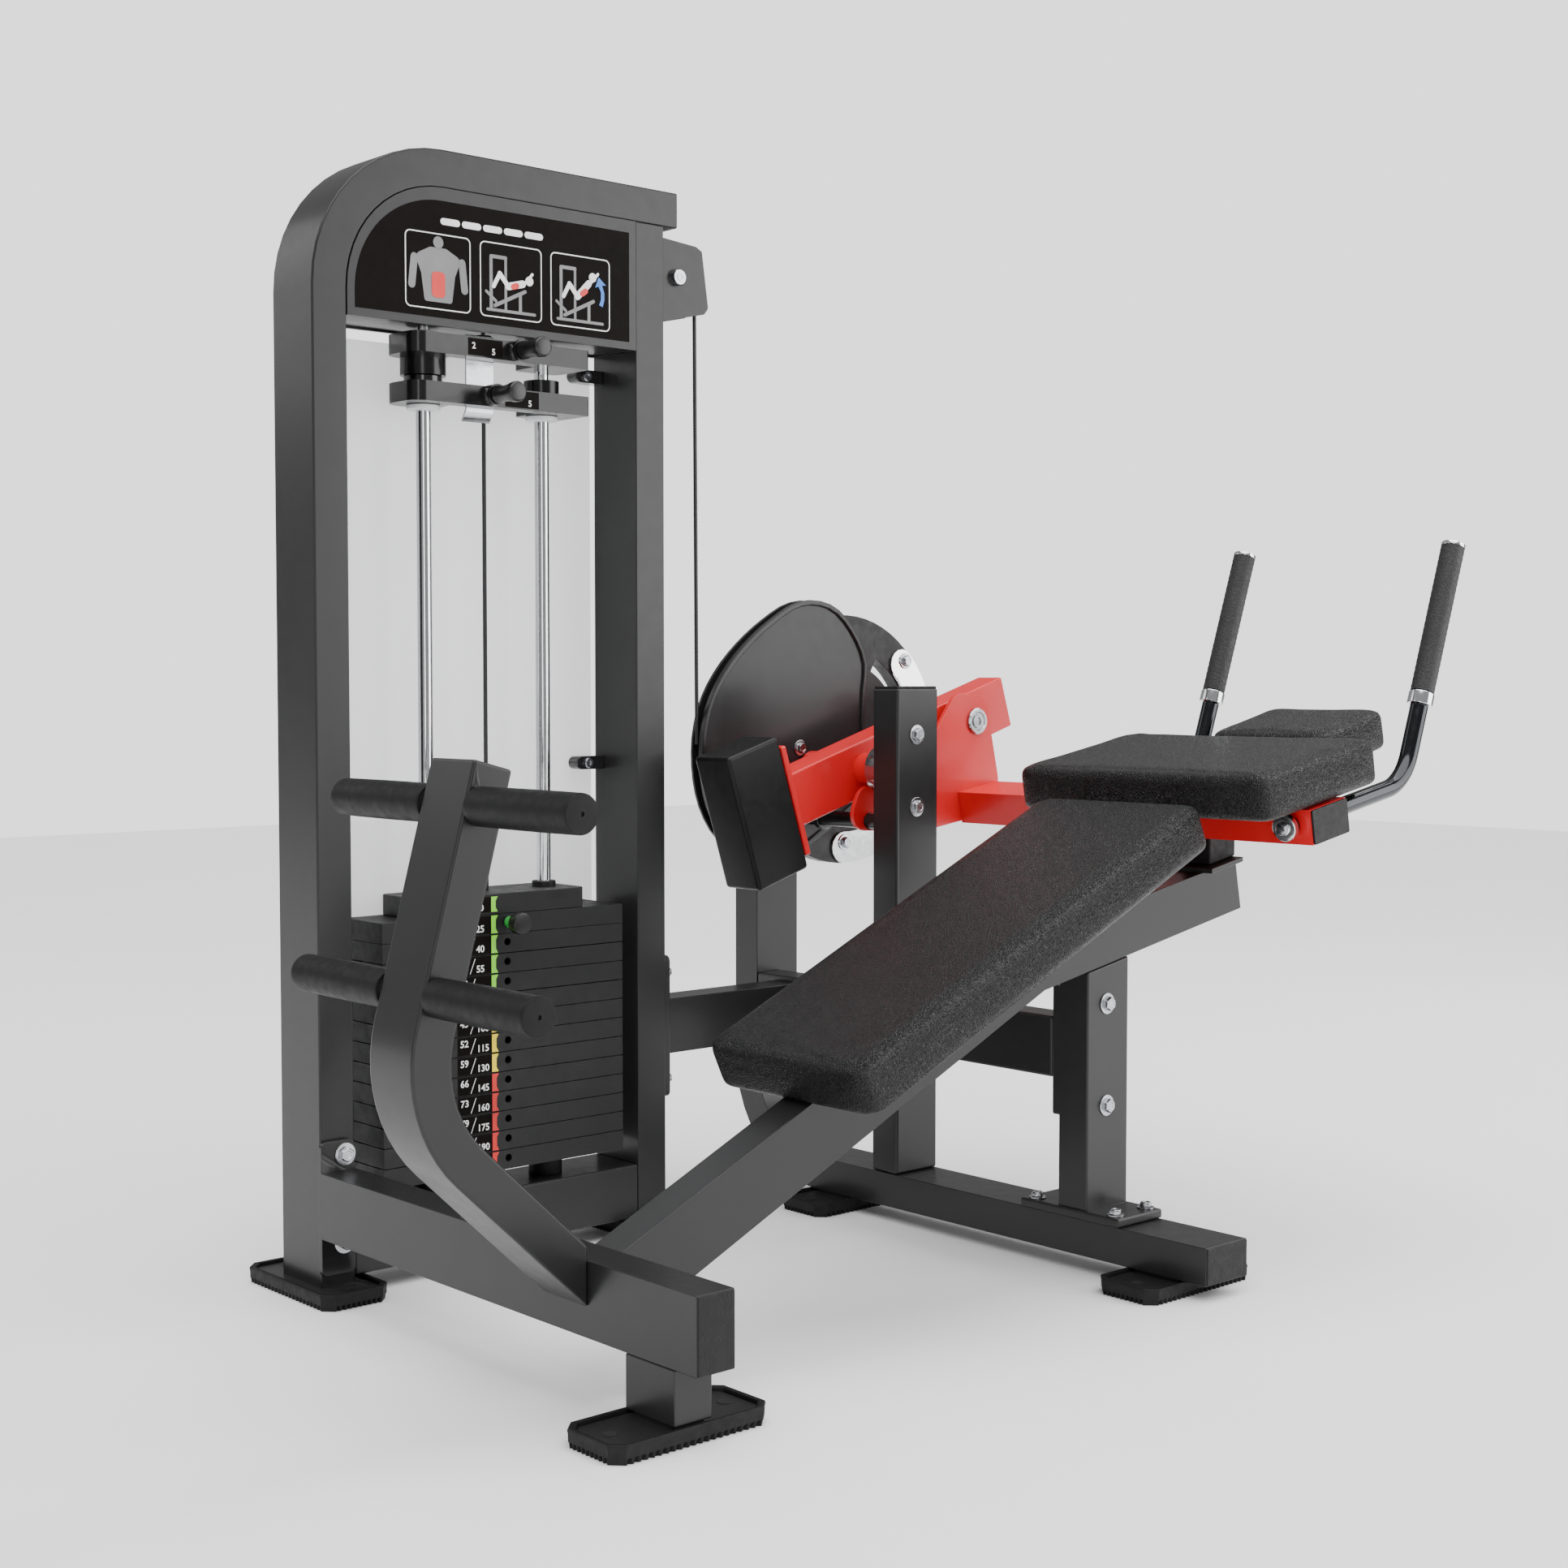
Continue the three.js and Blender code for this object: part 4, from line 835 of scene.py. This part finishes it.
FRAME_BOLTS = (
    # The tower's foot, the shaft post and the bench post.
    (FRONT, 10.0, 15.0, ((56, 34, 192), (54, 34, 76))),
    (FRONT, 10.0, 14.5, ((918, -160, 731), (918, -160, 623))),
    (FRONT, 10.0, 14.5, ((918, -530, 368), (918, -530, 227))),
    # The bench post's plate and the tie beam's.
    (UP, 8.5, 12.0, ((889, -572, 86), (889, -431, 86), (953, -572, 86), (953, -431, 86))),
    (RIGHT, 7.5, 11.0, ((612.6, 60, 222), (612.6, 60, 380), (612.6, 126, 222), (612.6, 126, 380))),
)
bm = bmesh.new()
bolt_rows(bm, FRAME_BOLTS)
# The rear pulley's bolt.
socket_cap(bm, at(644, 68, 1404), FRONT, 12.5, 9)
hex_bolt(bm, at(644, 67, 1404), FRONT, 7.0, 12.0)
piece("frame_bolts", bm, "frame", ZINC)

# Bolts, the cap on the lever's end and the handles' end caps.
ARM_BOLTS = (
    # The ends of the range strip, then the cam.
    (FRONT, 9.0, 13.0, ((1153, 101, 844), (1016, 101, 551))),
    (FRONT, 8.5, 12.5, ((901, 81, 706),)),
    (FRONT, 7.0, 10.5, ((962, 81, 640),)),
)
LEVER_TILT = math.radians(17.5)
LEVER_REACH, CAP_DROP = 242, 3
bm = bmesh.new()
bolt_rows(bm, ARM_BOLTS)
cap_x = 922 + LEVER_REACH * math.cos(LEVER_TILT) + CAP_DROP * math.sin(LEVER_TILT)
cap_z = 677 + LEVER_REACH * math.sin(LEVER_TILT) - CAP_DROP * math.cos(LEVER_TILT)
lathe(bm, at(cap_x, -60, cap_z), FRONT,
      [(0, 0), (21, 0), (21, 3.4), (19.4, 5.0), (15.0, 5.0), (13.6, 3.2), (11.8, 3.2), (11.2, 5.4),
       (6.0, 5.4), (5.0, 3.0), (0, 3.0)], 40)
for y in (-689, -311):
    lathe(bm, at(1093.5, y, on_pad_line(1093.5)), (-math.cos(PAD_TILT), 0, -math.sin(PAD_TILT)),
          [(0, -3), (8.5, -3), (8.5, 1.5), (7.2, 2.6), (0, 2.6)], 32)
piece("arm_bolts", bm, "arm", ZINC)

# Clips that hold the shroud to the rear upright.
for tag, z in (("upper", 1254), ("lower", 691)):
    bm = bmesh.new()
    points = rounded([(498, z - 9.5, 9), (548, z - 9.5), (548, z + 9.5), (498, z + 9.5, 9)], 6)
    slab(bm, points, 121, 143, 1.4)
    piece(f"shroud_clip_{tag}", bm, "frame", GLOSS)
    bm = bmesh.new()
    socket_cap(bm, at(518, 121, z), FRONT, 7.5, 5)
    piece(f"shroud_screw_{tag}", bm, "frame", ZINC)

# Pebbled plastic caps close the open tube ends.
bm = bmesh.new()
block(bm, (21.6, 72.4), (-735.0, -731.5), (84.6, 170.4), 3.0)
block(bm, (878.6, 963.4), (-735.0, -731.5), (23.0, 72.4), 3.0)
piece("tube_caps_base", bm, "frame", CAP)
bm = bmesh.new()
block(bm, (880.0, 962.0), (-158.5, -108.5), (799.0, 803.0), 1.6)
block(bm, (880.0, 962.0), (158.5, 208.5), (799.0, 803.0), 1.6)
piece("tube_caps_posts", bm, "frame", CAP)

# A black plug closes the near end of the red pad tube.
PAD_TUBE_FOOT = Vector((1121, 586))
PLUG_MARGIN, PLUG_END, PLUG_TOP = 0.6, 83.4, 48.9
along = Vector((math.cos(PAD_TILT), math.sin(PAD_TILT)))
upward = Vector((-along.y, along.x))
corners = [PAD_TUBE_FOOT + along * a + upward * b for a, b in (
    (PLUG_MARGIN, PLUG_MARGIN), (PLUG_END, PLUG_MARGIN), (PLUG_END, PLUG_TOP), (PLUG_MARGIN, PLUG_TOP))]
bm = bmesh.new()
slab(bm, rounded([(p.x, p.y, 3.0) for p in corners], 4), -725.6, -722.2, 1.0)
piece("pad_tube_plug", bm, "arm", CAP)

# ------------------------------------------------------------------ cam rim and drive-rod collar


def cam_rim():
    """A raised rim that follows the outer points of the cam's near face."""
    hub = at(905, 81, 720)
    near_face = [v.co.copy() for v in NODES["cam_disc"].data.vertices if abs(v.co.y - hub.y) < 1e-4]
    ring = [p for p in near_face if (p - hub).length > 0.09]
    ring.sort(key=lambda p: math.atan2(p.z - hub.z, p.x - hub.x))
    unique = []
    for p in ring:
        if not unique or (p - unique[-1]).length > 1e-4:
            unique.append(p)
    bm = bmesh.new()
    stops = [(0.0, 0.5), (0.0, -3.4), (1.2, -4.4), (6.6, -4.4), (8.0, -3.0), (8.6, 0.5)]
    loops = []
    count = len(unique)
    for inset, dy in stops:
        loop = []
        for i, p in enumerate(unique):
            ahead = unique[(i + 1) % count] - unique[i - 1]
            inward = Vector((-ahead.z, 0, ahead.x)).normalized()
            if inward.dot(hub - p) < 0:
                inward = -inward
            loop.append(p + inward * inset * MM + Vector((0, dy * MM, 0)))
        loops.append(loop)
    rings = loft(bm, loops, closed_ends=False)
    for k in range(count):
        j = (k + 1) % count
        bm.faces.new((rings[-1][k], rings[-1][j], rings[0][j], rings[0][k]))
    piece("cam_rim", bm, "arm", BLACK)


cam_rim()

bm = bmesh.new()
lathe(bm, at(918, 40, 597), INWARD, [(12.2, 0), (17, 0), (18, 1), (18, 9), (17, 10), (12.2, 10)], 36)
lathe(bm, at(918, -84.2, 597), FRONT, [(0, 0), (12, 0), (12, 2.0), (10.5, 3.2), (0, 3.2)], 36)
piece("drive_rod_collar", bm, "arm", GLOSS)

# ------------------------------------------------------------------ pins and knobs

bm = bmesh.new()
lathe(bm, at(STACK_X, 4, SELECTOR_Z), INWARD,
      [(0, 0), (13, 0), (14.6, 0.8), (15.2, 2.4), (15.2, 13), (14, 16), (9, 20), (0, 20)], 40)
piece("selector_knob", bm, "selector_pin", KNOB)
bm = bmesh.new()
lathe(bm, at(STACK_X, 24, SELECTOR_Z), INWARD,
      [(0, 0), (8, 0), (8, 3), (7.2, 4), (7.2, 7), (8, 8), (8, 14), (6.6, 15), (0, 15)], 32)
piece("selector_stem_sleeve", bm, "selector_pin", GREEN)
bm = bmesh.new()
lathe(bm, at(STACK_X, 39, SELECTOR_Z), INWARD, [(0, 0), (4.5, 0), (4.5, 60), (3.4, 62), (0, 62)], 24)
piece("selector_pin_rod", bm, "selector_pin", ZINC, ("selector_pin",))

KNOBS = {"lower": (301, 1200), "upper": (343, 1264)}
for tag, (x, z) in KNOBS.items():
    bm = bmesh.new()
    lathe(bm, at(x, -20, z), INWARD,
          [(0, 0), (10.5, 0), (12.8, 1.0), (14, 3.4), (13.6, 12), (11.5, 22), (10.8, 34), (11.5, 40),
           (12.5, 44), (12.5, 47), (0, 47)], 40)
    piece(f"addon_{tag}_pull", bm, f"knob_{tag}", KNOB, (f"addon_knob_{tag}",))

# Nylon bushes and one rubber buffer on the rods at the parked add-on weights.
BUSH_BORE, BUSH_EASE = 10.8, 0.8
BUSHES = (
    ("lower_under", "addon_lower", ROD_X, (1178.4, 1184.6), 23, WHITE, "white_sheet"),
    ("lower_over", "addon_lower", ROD_X[:1], (1212.4, 1223.6), 26, GLOSS, "black_plastic"),
    ("upper_over", "addon_upper", ROD_X, (1277.4, 1283.6), 23, WHITE, "white_sheet"),
)
for tag, body, rods, (z0, z1), r, mat, slot_name in BUSHES:
    bm = bmesh.new()
    high = z1 - z0
    for x in rods:
        lathe(bm, at(x, STACK_Y, z0), UP,
              [(BUSH_BORE, 0), (r - BUSH_EASE, 0), (r, BUSH_EASE), (r, high - BUSH_EASE),
               (r - BUSH_EASE, high), (BUSH_BORE, high)], 32)
    piece(f"bush_{tag}", bm, body, mat)

# ------------------------------------------------------------------ printed placard and numbers


def flat_shape(bm, points, y, hole=None):
    """A thin printed shape facing the front, an X-Z outline in layout millimetres."""
    if hole is None:
        bm.faces.new([bm.verts.new(at(p[0], y, p[1])) for p in points])
        return
    outer = [bm.verts.new(at(p[0], y, p[1])) for p in points]
    inner = [bm.verts.new(at(p[0], y, p[1])) for p in hole]
    for k in range(len(outer)):
        j = (k + 1) % len(outer)
        bm.faces.new((outer[k], outer[j], inner[j], inner[k]))


def printed(name, shapes, body, mat, thick=0.25):
    """Printed shapes get a hair of thickness, so that each is a closed layer of ink."""
    bm = bmesh.new()
    for points, y, hole in shapes:
        flat_shape(bm, points, y, hole)
    made = bmesh.ops.extrude_face_region(bm, geom=list(bm.faces))
    for v in (g for g in made["geom"] if isinstance(g, bmesh.types.BMVert)):
        v.co.y -= thick * MM
    piece(name, bm, body, mat, flat=True)


def bar(x0, z0, x1, z1, wide):
    """A thick line with round ends."""
    a, b = Vector((x0, z0)), Vector((x1, z1))
    along = (b - a).normalized() if (b - a).length > 1e-6 else Vector((1, 0))
    turn = math.atan2(along.y, along.x)
    points = []
    for centre, start in ((b, -math.pi / 2), (a, math.pi / 2)):
        for k in range(7):
            t = turn + start + math.pi * k / 6
            points.append((centre.x + math.cos(t) * wide / 2, centre.y + math.sin(t) * wide / 2))
    return points


def disc(x, z, r, count=20):
    """A round dot."""
    angles = [2 * math.pi * k / count for k in range(count)]
    return [(x + r * math.cos(a), z + r * math.sin(a)) for a in angles]


BOX_LOW, BOX_HIGH = 1306, 1407


def figure(x, raised):
    """Machine in grey, user in white and belly in red, in the pictogram box that starts at x."""
    z = BOX_LOW
    grey, white, red = [], [], []
    grey.append(bar(x + 18, z + 12, x + 18, z + 82, 5))
    grey.append(bar(x + 18, z + 82, x + 42, z + 82, 5))
    grey.append(bar(x + 42, z + 12, x + 42, z + 82, 4))
    grey.append(bar(x + 12, z + 10, x + 90, z + 10, 4))
    grey.append(bar(x + 24, z + 16, x + 74, z + 40, 5))
    grey.append(bar(x + 66, z + 12, x + 66, z + 34, 5))
    grey.append(bar(x + 10, z + 34, x + 26, z + 22, 4))
    lift = 14 if raised else 0
    hip = (x + 46, z + 44)
    chest = (x + 70 - lift * 0.3, z + 50 + lift)
    white.append(bar(*hip, *chest, 10))
    white.append(disc(chest[0] + 11 - lift * 0.3, chest[1] + 5 + lift * 0.3, 6.5))
    white.append(bar(*hip, x + 32, z + 60, 7))
    white.append(bar(x + 32, z + 60, x + 22, z + 42, 6))
    white.append(bar(chest[0] + 3, chest[1] + 1, chest[0] + 16, chest[1] + 15, 4))
    red.append(bar(hip[0] + 8, hip[1] + 0.5 + lift * 0.3, hip[0] + 14, hip[1] + 2.5 + lift * 0.45, 8))
    return grey, white, red


placard = rounded([(87, 1296), (535, 1296), (535, 1451), (87, 1451, 132)], 22)
printed("placard_panel", [(placard, PANEL_Y, None)], "frame", PRINT_BLACK, 0.8)
FACE, LINE = PANEL_Y - 0.9, 1.6
greys, whites, reds, blues = [], [], [], []
for x0, x1 in ((162, 265), (280, 382), (397, 500)):
    outer = rounded(box_outline(x0, x1, BOX_LOW, BOX_HIGH, 8), 6)
    inner = rounded(box_outline(x0 + LINE, x1 - LINE, BOX_LOW + LINE, BOX_HIGH - LINE, 6.6), 6)
    whites.append((outer, FACE, inner))
torso = rounded([(192, 1316, 4), (235, 1316, 4), (240, 1352, 6), (250, 1376, 8), (226, 1388, 8),
                 (201, 1388, 8), (177, 1376, 8), (187, 1352, 6)], 4)
greys += [(torso, FACE, None), (bar(176, 1372, 172, 1336, 11), FACE - 0.3, None),
          (bar(251, 1372, 255, 1336, 11), FACE - 0.3, None), (disc(213.5, 1395, 8), FACE - 0.6, None)]
reds.append((rounded(box_outline(203, 224, 1322, 1356, 6), 5), FACE - 0.6, None))
for x0, raised in ((280, False), (397, True)):
    grey, white, red = figure(x0, raised)
    for layer, shapes, step in ((greys, grey, 0.0), (whites, white, 0.35), (reds, red, 0.7)):
        layer.extend((points, FACE - step - 0.01 * k, None) for k, points in enumerate(shapes))
arrow = [(487, 1340), (490, 1350), (490, 1360), (486, 1370), (493, 1371), (480, 1381),
         (474, 1366), (480, 1368), (484, 1360), (484, 1350), (481, 1342)]
blues.append((arrow, FACE - 0.3, None))
TITLE_X, TITLE_Z, TITLE_PITCH = 222, 1424, 34  # five blank bands
whites += [(bar(x, TITLE_Z, x + 22, TITLE_Z, 9), FACE, None)
           for x in range(TITLE_X, TITLE_X + 5 * TITLE_PITCH, TITLE_PITCH)]
printed("placard_grey", greys, "frame", PRINT_GREY)
printed("placard_white", whites, "frame", PRINT_WHITE)
printed("placard_red", reds, "frame", PRINT_RED)
printed("placard_blue", blues, "frame", PRINT_BLUE)


def number(words, x, z, high, y):
    """Digits as solid outlines, their left foot at x and z."""
    curve = bpy.data.curves.new("digits", "FONT")
    curve.body = words
    curve.size = high * MM
    curve.extrude = 0.12 * MM
    curve.resolution_u = 3
    curve.offset = 0.016 * high * MM
    obj = bpy.data.objects.new("digits", curve)
    bpy.context.scene.collection.objects.link(obj)
    mesh = evaluated_copy(obj)
    bpy.data.objects.remove(obj)
    mesh.transform(Matrix.Translation(at(x, y, z)) @ Matrix.Rotation(math.pi / 2, 4, "X"))
    return mesh


def numbers(name, rows, body):
    """rows are the words, x, z, height and y of each number."""
    bm = bmesh.new()
    for words, x, z, high, y in rows:
        bm.from_mesh(number(words, x, z, high, y))
    piece(name, bm, body, PRINT_WHITE, flat=True)


FRONT_FACE, INK_STEP = 42.3, 0.45
LABEL_X0, LABEL_X1, TAB_X, NOTCH_X = 237, 293, 304, 300.5
FIRST_POUNDS, POUNDS_STEP, KG_PER_POUND, DIGIT_HIGH = 25, 15, 0.4536, 13.5
BANDS = [PRINT_GREEN] * 4 + [PRINT_YELLOW] * 4 + [PRINT_RED] * 5


def stack_labels(rows, body, tag):
    """rows are plate numbers from the top; each gets a black label, a colour tab and two numbers."""
    labels, digits = [], []
    tabs = {}
    for i in rows:
        top = STACK_TOP - i * PLATE_PITCH
        z0, z1 = top - PLATE_PITCH + 1.6, top - 1.2
        mid = (z0 + z1) / 2
        labels.append((box_outline(LABEL_X0, LABEL_X1, z0, z1), FRONT_FACE, None))
        tab = [(LABEL_X1, z0), (TAB_X, z0), (NOTCH_X, mid - 6), (NOTCH_X, mid + 6), (TAB_X, z1),
               (LABEL_X1, z1)]
        tabs.setdefault(BANDS[i].name, (BANDS[i], []))[1].append((tab, FRONT_FACE, None))
        pounds = FIRST_POUNDS + POUNDS_STEP * i
        digits.append((f"{round(pounds * KG_PER_POUND)}", 241, z0 + 11.5, DIGIT_HIGH, FRONT_FACE - INK_STEP))
        digits.append((f"{pounds}", 268, z0 + 3.0, DIGIT_HIGH, FRONT_FACE - INK_STEP))
    printed(f"stack_labels_{tag}", labels, body, PRINT_BLACK)
    for mat_name, (mat, shapes) in tabs.items():
        printed(f"stack_tabs_{tag}_{mat_name.removeprefix('print_')}", shapes, body, mat)
    numbers(f"stack_numbers_{tag}", digits, body)
    slashes = []
    for i in rows:
        top = STACK_TOP - i * PLATE_PITCH
        slashes.append((bar(258, top - 24, 266, top - 4, 0.9), FRONT_FACE - 0.3, None))
    printed(f"stack_slashes_{tag}", slashes, body, PRINT_WHITE)


stack_labels([0], "moving_weight", "top")
stack_labels(list(range(1, 13)), "frame", "resting")
head = box_outline(LABEL_X0, LABEL_X1, 493, 514)
printed("head_label", [(head, FRONT_FACE, None)], "moving_weight", PRINT_BLACK)
head_tab = [(LABEL_X1, 493), (TAB_X, 493), (NOTCH_X, 499), (NOTCH_X, 508), (TAB_X, 514), (LABEL_X1, 514)]
printed("head_tab", [(head_tab, FRONT_FACE, None)], "moving_weight", PRINT_GREEN)
numbers("head_numbers", [("5", 244, 501, 12.5, FRONT_FACE - INK_STEP),
                         ("10", 268, 495.5, 12.5, FRONT_FACE - INK_STEP)], "moving_weight")
ADDON_FACE = 43.0
for tag, z, x0 in (("upper", 1250, 262), ("lower", 1185, 322)):
    label = box_outline(x0, x0 + 56, z + 2, z + 25)
    printed(f"addon_{tag}_label", [(label, ADDON_FACE, None)], f"addon_{tag}", PRINT_BLACK)
    numbers(f"addon_{tag}_numbers", [("2", x0 + 6, z + 11, 12.0, ADDON_FACE - INK_STEP),
                                     ("5", x0 + 38, z + 5, 12.0, ADDON_FACE - INK_STEP)], f"addon_{tag}")

# ------------------------------------------------------------------ floor

FLOOR_HALF, FLOOR_DROP = 9.0, 0.0005  # metres
bm = bmesh.new()
floor_mat = Look("studio_floor", (0.90, 0.90, 0.90), 0.6)
floor_mat.mottle(floor_mat.spread(floor_mat.noise(1.2, 2.0), 0.0, 1.0), (0.92, 0.92, 0.92))
bmesh.ops.create_grid(bm, x_segments=8, y_segments=8, size=FLOOR_HALF)
for v in bm.verts:
    v.co.z -= FLOOR_DROP
mesh = bpy.data.meshes.new("floor")
bm.to_mesh(mesh)
bm.free()
floor = bpy.data.objects.new("floor", mesh)
bpy.context.scene.collection.objects.link(floor)
floor.data.materials.append(floor_mat.mat)
